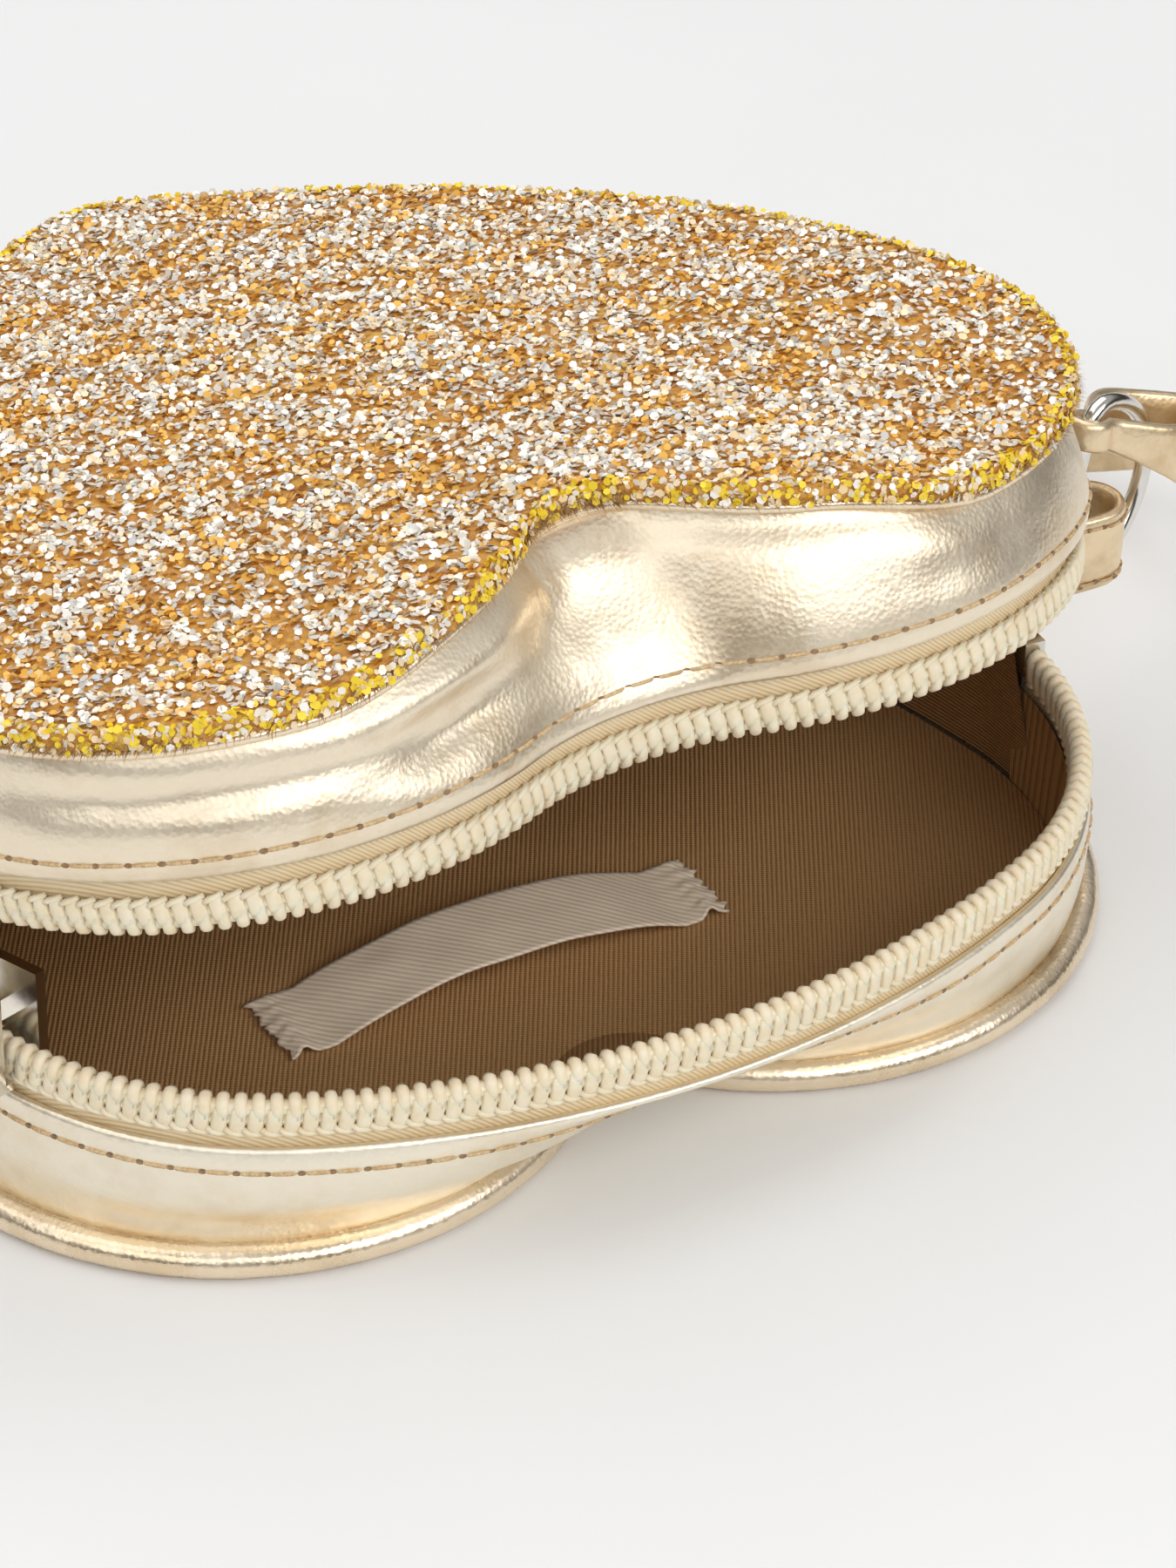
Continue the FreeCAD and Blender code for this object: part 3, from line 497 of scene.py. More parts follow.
def twill(name, light, dark, across, along, turn):
    """Ribbed lining cloth, woven along two of the object's axes after a turn about Z."""
    material = new_material(name, light, 0.8)
    paint = Painter(material)
    woven = paint.turned(turn)
    weave = paint.add(paint.ribs(0.5, across, 0.3, woven), paint.noise(0.5, 2), 0.3)
    if along:
        weave = paint.add(weave, paint.ribs(0.36, along, 0.6, woven), 0.45)
    slub = paint.noise(1.2, 4, 0.6, paint.stretched((4, 0.5, 1), woven))
    paint.colour(paint.ramp(paint.add(weave, slub, 0.4), [(0.35, dark), (1.1, light)]))
    paint.bump(weave, 0.14, 0.7)
    paint.shader.inputs["Specular IOR Level"].default_value = 0.12
    return material


def satin(name, light, dark, pitch):
    """Woven ribbon or tape with fine ribs."""
    material = new_material(name, light, 0.45)
    paint = Painter(material)
    rib = paint.ribs(pitch, "DIAGONAL", 0.3)
    cloud = paint.noise(3, 4)
    paint.colour(paint.ramp(paint.add(rib, cloud, 0.6), [(0.3, dark), (1.2, light)]))
    paint.bump(rib, 0.06, 0.5)
    paint.set(sheen_weight=0.35, sheen_roughness=0.3)
    return material


def nylon():
    material = new_material("nylon_coil", (0.90, 0.78, 0.58), 0.36)
    paint = Painter(material)
    cloud = paint.noise(1.5, 4)
    paint.colour(paint.ramp(cloud, [(0.3, (0.86, 0.71, 0.48)), (0.65, (0.92, 0.81, 0.62))]))
    paint.bump(paint.noise(0.3, 3), 0.03, 0.4)
    paint.set(subsurface_weight=0.15, subsurface_scale=0.0008)
    return material


def plated(name, tone, rough):
    material = new_material(name, tone, rough, 1.0)
    paint = Painter(material)
    haze = paint.noise(1.2, 4)
    paint.colour(paint.ramp(haze, [(0.35, tuple(c * 0.9 for c in tone)), (0.7, tone)]))
    paint.rough(paint.grey(haze, rough - 0.03, rough + 0.1))
    paint.bump(paint.noise(0.25, 3), 0.01, 0.3)
    return material


def thread_material():
    material = new_material("thread", (0.50, 0.33, 0.17), 0.55)
    paint = Painter(material)
    twist = paint.noise(0.35, 3)
    paint.colour(paint.ramp(twist, [(0.35, (0.50, 0.33, 0.16)), (0.7, (0.76, 0.57, 0.33))]))
    paint.bump(twist, 0.05, 0.6)
    return material


def fibre_board():
    material = new_material("stiffener", (0.62, 0.56, 0.48), 0.8)
    paint = Painter(material)
    pulp = paint.noise(0.9, 5)
    paint.colour(paint.ramp(pulp, [(0.3, (0.52, 0.46, 0.38)), (0.7, (0.70, 0.64, 0.55))]))
    paint.bump(pulp, 0.05, 0.4)
    return material


GOLD = foil_leather("gold_leatherette", (0.90, 0.79, 0.615), (0.78, 0.64, 0.45), 0.35, 2.2)
# A lighter copy of the gold leatherette for the lower gusset: painted light, for the brighter reflection
# the lower wall catches.
LIT_GOLD = foil_leather("lit_copy_leatherette", (0.95, 0.88, 0.73), (0.88, 0.78, 0.61), 0.37, 2.2)
PIPE_GOLD = foil_leather("piping_leatherette", (0.93, 0.79, 0.60), (0.82, 0.66, 0.45), 0.26, 3.2)
STRAP_GOLD = foil_leather("strap_leatherette", (0.86, 0.69, 0.46), (0.64, 0.47, 0.26), 0.32, 2.6)
BACKING = glitter_base()
FLAKES = flake_material()
LINING = twill("lining_twill", (0.54, 0.315, 0.135), (0.25, 0.125, 0.045), "X", "Y", 30)
WALL_LINING = twill("wall_lining_twill", (0.50, 0.29, 0.13), (0.25, 0.125, 0.045), "Z", None, 0)
TAPE = satin("zip_tape", (0.91, 0.77, 0.52), (0.74, 0.54, 0.29), 0.28)
SATIN = satin("label_satin", (0.98, 0.85, 0.67), (0.76, 0.62, 0.46), 0.5)
NYLON = nylon()
CHROME = plated("plated_metal", (0.78, 0.75, 0.70), 0.12)
THREAD = thread_material()
BOARD = fibre_board()


def speckled(name, light, dark, rough, size):
    """Matt stuff with a slight mottle."""
    material = new_material(name, light, rough)
    paint = Painter(material)
    paint.colour(paint.ramp(paint.noise(size, 4), [(0.3, dark), (0.7, light)]))
    return material


# Needle holes: painted shade, dark plates where the holes' recesses would be in shadow.
HOLE_SHADE = speckled("needle_hole_shade", (0.40, 0.25, 0.12), (0.22, 0.12, 0.05), 0.8, 0.5)
FUZZ = speckled("cut_fibre", (0.62, 0.40, 0.17), (0.36, 0.19, 0.06), 0.8, 2)
PAPER = speckled("floor_paper", (0.845, 0.845, 0.845), (0.83, 0.83, 0.83), 0.75, 60)


def place(obj, body, slot, *nodes):
    """Let a piece ride on a body and stand for its CAD nodes, which it hides. The slot is not used."""
    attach(obj, body)
    if nodes:
        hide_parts(*nodes)
    return obj


def coat(node, material):
    """Give a CAD solid its finish."""
    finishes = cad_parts[node].data.materials
    finishes.clear()
    finishes.append(material)


# Front panel: glitter cloth on a heart, its edge uneven.
HEART_MIDDLE = Vector((0, 18, 0))


def heart_sheet(offset, level, rings, ragged=0.0):
    """Rings of points from the middle of the heart to its outline, at a level given by a function."""
    edge = outline(offset)
    rows = []
    for r in range(1, rings + 1):
        share = (r / rings) ** 0.8
        row = []
        for p in edge:
            q = HEART_MIDDLE + (p - HEART_MIDDLE) * share
            if ragged:
                q += (q - HEART_MIDDLE).normalized() * (ragged * share**8 * wave(p.x, p.y, 3, 1.4))
            row.append(Vector((q.x, q.y, level(q))))
        rows.append(row)
    return rows


def heart_object(name, rows, material, matrix, shift=None):
    """Sheet from rings of points, closed at the middle by a fan."""
    points = flatten(rows) + raised([HEART_MIDDLE], rows[0][0].z)
    points = [matrix @ (p + shift(p) if shift else p) for p in points]
    columns = len(rows[0])
    hub = len(points) - 1
    faces = grid_faces(len(rows), columns, True)
    faces += [(hub, (c + 1) % columns, c) for c in range(columns)]
    return mesh_object(name, points, [f[::-1] for f in faces], material)


def uneven(level, depth, size, seed=0):
    """A level that waves by the given depth."""
    return lambda q: level + depth * wave(q.x, q.y, seed, size)


PANEL_THICK, FLAKE_COUNT, FRAY_COUNT = 1.8, 33000, 9000
PANEL_EDGE = outline(-PANEL_INSET)
panel_top = uneven(PANEL_Z + PANEL_THICK, 0.25, 3)
panel_rows = heart_sheet(-PANEL_INSET, panel_top, 46, 0.5)
panel_rim = panel_rows[-1]
panel_rows += [raised(panel_rim, PANEL_Z + PANEL_THICK * share) for share in (0.55, 0.05)]
panel_rows += [[HEART_MIDDLE.lerp(p, share) + UP * PANEL_Z for p in PANEL_EDGE] for share in (0.97, 0.5)]
panel = heart_object("glitter_panel", panel_rows, BACKING, LID, settle)
place(panel, "front_half", "glitter", "front_panel")


def inside(x, y, edge):
    """Whether a point is inside a closed line."""
    odd = False
    for a, b in zip(edge, edge[1:] + edge[:1]):
        if (a.y > y) != (b.y > y) and x < a.x + (y - a.y) / (b.y - a.y) * (b.x - a.x):
            odd = not odd
    return odd


def flake(centre, normal, reach):
    """Six sided flake, tipped at random from the given normal."""
    tip = Vector([dice.gauss(0, 0.42) for _ in range(3)])
    axis = (normal + tip).normalized()
    side = axis.orthogonal().normalized()
    across = axis.cross(side)
    spin = dice.random() * math.pi
    turns = [spin + k * math.pi / 3 for k in range(6)]
    return [centre + side * (reach * math.cos(a)) + across * (reach * math.sin(a)) for a in turns]


def flake_tint(x, y, edge):
    """Tint of a flake: silver over most of the panel, amber in streaks, yellow and grey near the edge."""
    streak = wave(x * 0.8 + y * 0.5, y * 1.3, 5, 5.5) + 0.5 * wave(x, y, 9, 2.2)
    roll = dice.random()
    if edge and roll < 0.5 + 0.4 * wave(x, y, 2, 7):
        return 0.97
    if roll < 0.06:
        return 0.9
    if streak > 0.1:
        return 0.62 + 0.2 * dice.random() if roll < 0.6 else 0.6 * dice.random()
    return 0.38 * dice.random() if roll < 0.76 else 0.4 + 0.2 * dice.random()


def scatter_flakes():
    """Flakes over the panel's top and along its edge."""
    heap = Heap()
    tints = []
    lid_up = (LID.to_3x3() @ UP).normalized()
    middle = outline(-PANEL_INSET - 1.1)
    while len(tints) < FLAKE_COUNT:
        x = dice.uniform(-LOBE_X - LOBE_R, LOBE_X + LOBE_R)
        y = dice.uniform(-LOBE_R, TIP_Y)
        if not inside(x, y, PANEL_EDGE):
            continue
        q = Vector((x, y, 0))
        q.z = panel_top(q) + dice.uniform(0.05, 0.5)
        heap.add_plate(flake(LID @ (q + settle(q)), lid_up, dice.uniform(0.28, 0.52)))
        tints.append(flake_tint(x, y, not inside(x, y, middle)))
    for p, along in along_line(PANEL_EDGE + PANEL_EDGE[:1], 0.09):
        out = Vector((along.y, -along.x, 0))
        q = p + out * dice.uniform(-0.3, 0.45)
        q.z = PANEL_Z + dice.uniform(0.0, PANEL_THICK + 0.3)
        heap.add_plate(flake(LID @ (q + settle(q)), LID.to_3x3() @ out, dice.uniform(0.26, 0.5)))
        tints.append(flake_tint(q.x, q.y, True))
    obj = heap.make("glitter_flakes", FLAKES, False)
    values = obj.data.attributes.new("tint", "FLOAT", "FACE")
    values.data.foreach_set("value", tints)
    return obj


place(scatter_flakes(), "front_half", "glitter")


def fray():
    """Short fibres that stick out of the panel's cut edge."""
    heap = Heap()
    for _ in range(FRAY_COUNT):
        k = dice.randrange(len(PANEL_EDGE))
        p = PANEL_EDGE[k].lerp(PANEL_EDGE[(k + 1) % len(PANEL_EDGE)], dice.random())
        out = (p - HEART_MIDDLE).normalized()
        q = p - out * 0.3 + UP * (PANEL_Z + dice.uniform(-0.2, 1.1))
        q += settle(q)
        tip = q + out * dice.uniform(0.6, 1.3) + Vector([dice.gauss(0, 0.3) for _ in range(3)]) - UP * 0.3
        side = Vector((-out.y, out.x, 0)) * 0.07
        heap.add_plate([LID @ (q - side), LID @ (q + side), LID @ tip])
    return heap.make("panel_fray", FUZZ, False)


place(fray(), "front_half", "glitter")

WELT_R = 0.65
welt_line = raised(outline(-PANEL_INSET - 0.7), PANEL_Z - 0.55)
welt = loop_object("front_welt_cord", [LID @ (p + settle(p)) for p in welt_line], WELT_R, 10, PIPE_GOLD)
place(welt, "front_half", "gold_leather", "front_welt")


# Piping: leather drawn over a cord, puckered along the seam.
CORD_R = 1.7
piping_path = raised(outline(0.25), CORD_R)


def piping_object():
    rings = tube_points(piping_path, CORD_R, 16, True)
    points = []
    for k, ring in enumerate(rings):
        centre = piping_path[k]
        for p in ring:
            pucker = 1 + 0.035 * wave(p.x, p.y, p.z, 3.2) + 0.02 * wave(p.x, p.y, p.z, 1.1)
            q = centre + (p - centre) * pucker
            points.append(Vector((q.x, q.y, max(q.z, 0.02))))
    return mesh_object("piping_leather", points, loop_faces(len(rings), len(rings[0])), PIPE_GOLD)


place(piping_object(), "back_half", "gold_leather", "piping")


# Gussets: soft leather walls with a turned edge beside the zip.
def wall_rows(low, high, levels, count, swell, seed, folds=()):
    """Rows from a lower to an upper line at two levels, swollen outwards between the seams and folded.

    A fold is its place along X, its share of the height, its reach in both and its depth.
    """
    low_z, high_z = levels
    normals = outward(low)
    last = len(low) - 1
    rows = []
    for r in range(count):
        t = r / (count - 1)
        arch = math.sin(math.pi * t) ** 0.7
        row = []
        for k, (a, b, n) in enumerate(zip(low, high, normals)):
            p = a.lerp(b, t)
            p.z = low_z + (high_z - low_z) * t
            body = min(1, 6 * min(k, last - k) / last) * arch
            slack = 0.7 + 0.5 * wave(p.x, p.y, seed, 30)
            crease = wave(p.x * 0.9 + t * 8, p.y * 0.9 - t * 6, seed + 4, 11)
            fold = sum(depth * bump_at(Vector((p.x, t, 0)), spot, reach) for spot, reach, depth in folds)
            gather = wave(p.x * 1.5 + t * 7, t * 2.4, seed + 8, 1.7) * min(1, abs(fold)) * 0.3
            row.append(p + n * ((swell * slack + 0.5 * crease + fold + gather) * body))
        rows.append(row)
    return rows


UPPER_FOLDS = [
    ((-14, 0.78), (15, 0.14), 1.5),
    ((-20, 0.42), (9, 0.20), -1.8),
    ((-3, 0.30), (8, 0.20), 0.6),
    ((15, 0.88), (11, 0.08), -0.9),
    ((34, 0.40), (8, 0.20), -0.6),
    ((-44, 0.60), (18, 0.16), -1.1),
]
LOWER_FOLDS = [
    ((-42, 0.25), (20, 0.16), -0.9),
    ((-14, 0.55), (9, 0.20), 0.6),
    ((0, 0.45), (7, 0.25), -0.8),
    ((26, 0.45), (12, 0.18), -0.8),
]


def turned_edge(rows, step):
    """Rows that roll the free edge of a wall over and run back behind it."""
    normals = outward(rows[0])
    rolls = [(0, -0.12, 0.4), (0, -0.5, 0.62), (0, -0.9, 0.4), (1, -1.05, 0.0), (4, -1.15, 0.0)]
    made = []
    for back, inset, rise in rolls:
        made.append([p + n * inset - UP * (step * rise) for p, n in zip(rows[back], normals)])
    return made


LIP_RISE, LIP_DROP = 1.9, 1.3
upper_levels = UPPER_FOLD + LIP_RISE, PANEL_Z - 0.2
upper_top = back_line(-PANEL_INSET - 1.8)
upper_rows = wall_rows(upper_rim(RIM_OUT + 0.7), upper_top, upper_levels, 26, 1.9, 2, UPPER_FOLDS)
for r, row in enumerate(upper_rows):
    share = (r / (len(upper_rows) - 1)) ** 1.3
    upper_rows[r] = [p + settle(p) * share + tuck(p) * (1 - 0.7 * share) for p in row]
upper_rows = turned_edge(upper_rows, 1)[::-1] + upper_rows
upper = grid_object("upper_gusset_leather", [[LID @ p for p in row] for row in upper_rows], GOLD)
place(upper, "front_half", "gold_leather", "upper_gusset")

lower_levels = 2 * CORD_R - 1.2, LOWER_FOLD - LIP_DROP
lower_rows = wall_rows(back_line(-1.1, 0.3), lower_rim(RIM_OUT), lower_levels, 22, 1.6, 11, LOWER_FOLDS)
lower_rows += turned_edge(lower_rows[::-1], -1)
# The lower gusset takes the lighter copy of the leather, which is painted light.
lower = grid_object("lower_gusset_leather", lower_rows, LIT_GOLD)
place(lower, "back_half", "gold_leather", "lower_gusset")


def seam_wall(name, inset, low_z, rows, material):
    """Wall round the tip, from the back seam to the tilted front panel."""
    low = tip_line(-inset)
    normals = outward(low)
    level = UP * (PANEL_Z - 0.4)
    high = [LID @ (p + settle(p) + tuck(p) * 0.3 + level) for p in tip_line(-inset - PANEL_INSET - 1.2)]
    made = []
    for r in range(rows):
        t = r / (rows - 1)
        arch = math.sin(math.pi * t)
        row = []
        for k, (a, b, n) in enumerate(zip(low, high, normals)):
            lap = max(0, 1 - min(k, len(low) - 1 - k) / 4) * 5 * (1 - t) ** 0.7
            p = Vector((a.x, a.y - lap, low_z)).lerp(b - Vector((0, lap, 0)), t)
            fold = wave(p.x, p.y, p.z * 0.3, 18) + 0.4 * wave(p.x, p.y, p.z * 0.5, 6)
            row.append(p - n * (arch * (0.5 + 0.5 * fold)) + tuck(p) * (0.6 * arch))
        made.append(row)
    wall = grid_object(name, made, material)
    return wall


def follow_both(wall, node):
    """Hide the wall's CAD node and bake the wall's transform into its mesh; the wall is attached to
    neither half.
    """
    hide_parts(node)
    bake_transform(wall)


bottom = seam_wall("bottom_gusset_leather", 0.3, 2 * CORD_R - 0.7, 20, GOLD)
follow_both(bottom, "bottom_gusset")
bottom_cloth = seam_wall("bottom_gusset_cloth", 2.0, 3.2, 16, WALL_LINING)
follow_both(bottom_cloth, "bottom_gusset_lining")

# Back panel, boards and linings.
back = heart_object("back_leather", heart_sheet(-1.6, uneven(0.35, 0.1, 12), 20), GOLD, ROOT)
place(thicken(back, 0.6), "back_half", "gold_leather", "back_panel")
coat("back_board", BOARD)
bowed_rows = heart_sheet(-3.2, lambda q: PANEL_Z - 0.7, 20)
bowed_board = heart_object("bowed_board", bowed_rows, BOARD, LID, settle)
place(thicken(bowed_board, 1.0), "front_half", "board", "front_board")
floor_rows = heart_sheet(-2.4, uneven(2.95, 0.25, 14), 30)
floor_cloth = heart_object("floor_lining", floor_rows, LINING, ROOT)
place(floor_cloth, "back_half", "lining", "back_lining")
roof_rows = heart_sheet(-5.2, uneven(PANEL_Z - 2.0, 0.15, 14, 4), 24)
roof_cloth = heart_object("roof_lining", roof_rows, LINING, LID, settle)
place(roof_cloth, "front_half", "lining", "front_lining")

CLOTH_RIM = RIM_OUT - 2.2
low_levels = 3.0, LOWER_FOLD - 0.5
low_rows = wall_rows(back_line(-2.4, 0.4), lower_rim(CLOTH_RIM), low_levels, 12, -0.3, 21)
low_cloth = grid_object("lower_wall_lining", low_rows, LINING)
place(low_cloth, "back_half", "lining", "lower_gusset_lining")
high_levels = UPPER_FOLD + 0.5, PANEL_Z - 1.9
high_top = back_line(-PANEL_INSET - 3.4)
high_rows = wall_rows(upper_rim(CLOTH_RIM), high_top, high_levels, 12, -0.3, 31)
for r, row in enumerate(high_rows):
    share = r / (len(high_rows) - 1)
    high_rows[r] = [LID @ (p + settle(p) * share**1.3 + tuck(p) * (1 - share)) for p in row]
high_cloth = grid_object("upper_wall_lining", high_rows, WALL_LINING)
place(high_cloth, "front_half", "lining", "upper_gusset_lining")


# Zip: tape, coil turns and the cord under them.
def drawn_rim(offset, end_gap):
    """The upper zip line with its right end drawn in."""
    return [p + tuck(p) for p in upper_rim(offset, end_gap)]


def tape_object(name, rim, root, back, matrix):
    """Tape from behind the leather to the coil."""
    levels = [back + (root - back) * k / 4 for k in range(5)]
    rows = [[matrix @ (p + UP * z) for p in rim(0, ZIP_END - 2)] for z in levels]
    return thicken(grid_object(name, rows, TAPE), 0.5)


def coil_turns(name, rim, root, sign, matrix):
    """Turns of the coil: heads at the free edge, legs and sewing thread on both faces, cords inside.

    Shapes are given along the line as a share of the pitch, across it, and from the root.
    """
    heap = Heap()
    line = rim(0, ZIP_END)
    half_head = [(0, 0.72, 1.2), (0, 0.74, 2.1), (0, 0.5, 2.75)]
    head = [(a, -b, c) for a, b, c in half_head] + [(0, 0, 3.05)] + half_head[::-1]
    leg = [(0.25, 0.55, -0.5), (0.22, 0.82, 0.1), (0.17, 0.88, 0.8), (0.1, 0.84, 1.5), (0.02, 0.68, 2.1)]
    stitch = [(-0.2, 0.7, -0.6), (0.25, 1.0, -0.4), (0.55, 1.02, -0.3), (0.9, 0.85, 0.1)]
    pieces = [(head, 1, 0.6, 10, 0.85)]
    for face in (-1, 1):
        pieces += [(leg, face, 0.78, 8, 0.55), (stitch, face, 0.3, 8, 1.0)]
    for p, along in along_line(line, TOOTH_PITCH, 0.6):
        side = matrix.to_3x3() @ along
        out = Vector((-along.y, along.x, 0))
        for shape, face, reach, sides, flat in pieces:
            path = []
            for share, across, rise in shape:
                q = p + along * (share * TOOTH_PITCH) + out * (face * across)
                path.append(matrix @ (q + UP * (root + sign * rise)))
            heap.add_tube(path, reach, sides, flat, side)
    for level, reach in ((1.0, 0.95), (1.9, 0.85)):
        heap.add_tube([matrix @ p for p in raised(line, root + sign * level)], reach, 8)
    return heap.make(name, NYLON)


LOWER_ROOT = LOWER_TOP - CHAIN
UPPER_ROOT = UPPER_TEETH + CHAIN
TAPE_LAP, TAPE_HIDDEN = 0.3, 0.6
lower_back = LOWER_FOLD - LIP_DROP - TAPE_HIDDEN
upper_back = UPPER_FOLD + LIP_RISE + TAPE_HIDDEN
lower_tape = tape_object("lower_tape", lower_rim, LOWER_ROOT + TAPE_LAP, lower_back, ROOT)
place(lower_tape, "back_half", "zip_tape", "lower_zip_tape")
upper_tape = tape_object("upper_tape", drawn_rim, UPPER_ROOT - TAPE_LAP, upper_back, LID)
place(upper_tape, "front_half", "zip_tape", "upper_zip_tape")
lower_coil = coil_turns("lower_coil", lower_rim, LOWER_ROOT, 1, ROOT)
place(lower_coil, "back_half", "zip_coil", "lower_zip_chain")
upper_coil = coil_turns("upper_coil", drawn_rim, UPPER_ROOT, -1, LID)
place(upper_coil, "front_half", "zip_coil", "upper_zip_chain")


# Top stitching beside the folded edges.
def stitches(name, points, normals, body, matrix, pitch=3.0, reach=0.19):
    """Fine thread that dips into a needle hole at both ends of each stitch; each hole is a small dark
    plate of painted shade.
    """
    thread, hole_shades = Heap(), Heap()
    travelled = 0.0
    count = 0
    for k in range(len(points) - 1):
        travelled += (points[k + 1] - points[k]).length
        if travelled < pitch * count:
            continue
        count += 1
        along = (points[k + 1] - points[k]).normalized()
        n = normals[k]
        across = along.cross(n)
        shape = [(0.08, -0.2), (0.2, 0.04), (0.5, 0.1), (0.8, 0.04), (0.92, -0.2)]
        dash = [points[k] + along * (pitch * (t - 0.5)) + n * d for t, d in shape]
        thread.add_tube([matrix @ p for p in dash], reach, 6)
        # Flat dark plate for the needle hole at the stitch's end: painted shade.
        hole = points[k] + along * (pitch * 0.5) + n * 0.05
        ring = [polar(Vector(), 1, 45 * turn) for turn in range(8)]
        hole_shades.add_plate([matrix @ (hole + along * (0.42 * c.x) + across * (0.26 * c.y)) for c in ring])
    place(hole_shades.make(name + "_hole_shades", HOLE_SHADE), body, "gold_leather")
    return place(thread.make(name, THREAD), body, "gold_leather")


def refine(points, count=6):
    """More points along a line, for even stitches."""
    fine = []
    for a, b in zip(points, points[1:]):
        fine += [a.lerp(b, k / count) for k in range(count)]
    return fine


def row_stitches(name, rows, index, body, matrix):
    line = refine(rows[index])
    stitches(name, line, outward(line), body, matrix)


row_stitches("upper_stitching", upper_rows, 8, "front_half", LID)
row_stitches("lower_stitching", lower_rows, 18, "back_half", ROOT)

# Label: a satin strip sewn down at both ends, bare.
LABEL_LONG, LABEL_WIDE, LABEL_RISE = 51.0, 10.2, 3.6
LABEL_SPOT = Vector((-2.8, -3.0, 3.4))
LABEL_SKEW = 0.025
SEWN_SHARE, HEM_SHARE, RAGGED_SHARE = 0.40, 0.465, 0.485


def label_point(s, w):
    """Point at shares of the label's length and width, each from -0.5 to 0.5."""
    lift = max(0.0, 1 - (abs(s) / SEWN_SHARE) ** 2.2)
    crimp = max(0.0, abs(s) - SEWN_SHARE) / 0.1
    hem = math.exp(-(((abs(s) - HEM_SHARE) / 0.016) ** 2))
    x = LABEL_LONG * s
    if abs(s) > RAGGED_SHARE:
        x += 0.9 * wave(w * 30, s * 9, 1, 1.2) + 0.5 * wave(w * 60, s, 2, 0.9)
    y = LABEL_WIDE * w * (1 - 0.12 * hem) + LABEL_LONG * s * LABEL_SKEW
    y += 0.25 * crimp * wave(s * 50, w, 4, 2)
    z = LABEL_RISE * lift + 0.12 * crimp * math.sin(w * 30) + 0.2 * wave(s * 40, w * 12, 3, 5)
    z += hem * (0.6 + 0.25 * wave(w * 40, s * 60, 7, 2.5))
    return LABEL_SPOT + Vector((x, y, z))


label_rows = [[label_point(r / 100 - 0.5, c / 24 - 0.5) for c in range(25)] for r in range(101)]
label = thicken(grid_object("satin_label", label_rows, SATIN), 0.25)
place(label, "back_half", "label", "label")


# Side tabs, rings and strap ends.
def side_frames(side, tab_height):
    """Frames of the tab and of its ring, as matrices."""
    turn = math.radians(18 if side > 0 else 162)
    tab = Matrix.Translation((side * 64.127, 1.9, tab_height)) @ Matrix.Rotation(turn, 4, "Z")
    lean = Matrix.Rotation(math.radians(14), 4, "Y")
    ring = tab @ Matrix.Translation(Vector((5.2, 0, 0)) + lean.to_3x3() @ Vector((0, 0, 5.2))) @ lean
    return tab, ring


def band_object(name, path, wide, thick, centre, matrix, material, seed):
    """Flat band on edge along a path, its edges rounded. Width and centre are functions of X."""
    rows = []
    for p, n in zip(path, outward(path)):
        half = wide(p.x) / 2
        side = [(-0.5, 0.35 - half), (-0.3, -half), (0.3, -half), (0.5, 0.35 - half)]
        side += [(0.5 + 0.1 * (1 - k * k), half * k) for k in (-0.6, -0.2, 0.2, 0.6)]
        row = []
        for a, b in side + [(-a, -b) for a, b in side]:
            swell = 0.12 * wave(p.x, p.y, b + seed, 4)
            row.append(matrix @ (p + n * (a * thick + swell * 0.5) + UP * (centre(p.x) + b + swell)))
        rows.append(row)
    return mesh_object(name, flatten(rows), capped_faces(len(rows), len(rows[0])), material)


def tab_width(x):
    """The tab is narrow in the seam and wider where it is free."""
    return 7.0 + 2.0 * ease((x - 0.5) / 5)


def tab_centre(x):
    return -1.0 * ease((x - 0.5) / 5)


def loop_width(x):
    """The strap end is gathered to a narrow neck at the ring."""
    return 3.2 + 4.8 * ease(x / 17)


def loop_centre(x):
    return 7.6 - 3.0 * ease(x / 17)


def tab_path():
    """Middle line of the tab: out from the seam, round the bend and back."""
    end, reach = Vector((9.6, 0, 0)), 3.5
    path = [Vector((-2.8 + k * 0.7, -0.52, 0)) for k in range(5)]
    path += [Vector((x, -0.52 - 2.8 * (x / 8.6) ** 1.2, 0)) for x in (1, 2.2, 3.6, 5.2, 7.0, 8.4)]
    path += [polar(end, reach, a) for a in range(-96, 97, 12)]
    return path + [Vector((p.x, -p.y, 0)) for p in reversed(path[:11])]


def loop_path():
    """Middle line of the strap end: along one ply, round the ring's bar and back."""
    path = [Vector((24 - k * 0.5, 0.75, 0)) for k in range(8)]
    bulge = [4.6 * math.sin(k / 16 * math.pi) ** 1.3 for k in range(16)]
    path += [Vector((20 - k * 1.2, 0.75 + bulge[k], 0)) for k in range(1, 16)]
    half = path + [polar(Vector(), 1.85, a) for a in range(75, 180, 12)]
    return half + [Vector((p.x, -p.y, 0)) for p in reversed(half)]


def edge_stitches(name, path, wide, centre, body, matrix):
    """Stitching along both edges of a band's outer face."""
    for word, sign in (("top", 1), ("low", -1)):
        line = [p + UP * (centre(p.x) + sign * (wide(p.x) / 2 - 1.1)) for p in path]
        normals = [-n for n in outward(path)]
        line = [p + n * 0.72 for p, n in zip(line, normals)]
        fine = refine(line, 4)
        fine_normals = [normals[k // 4] for k in range(len(fine))]
        stitches(f"{name}_{word}", fine, fine_normals, body, matrix, 2.2, 0.16)


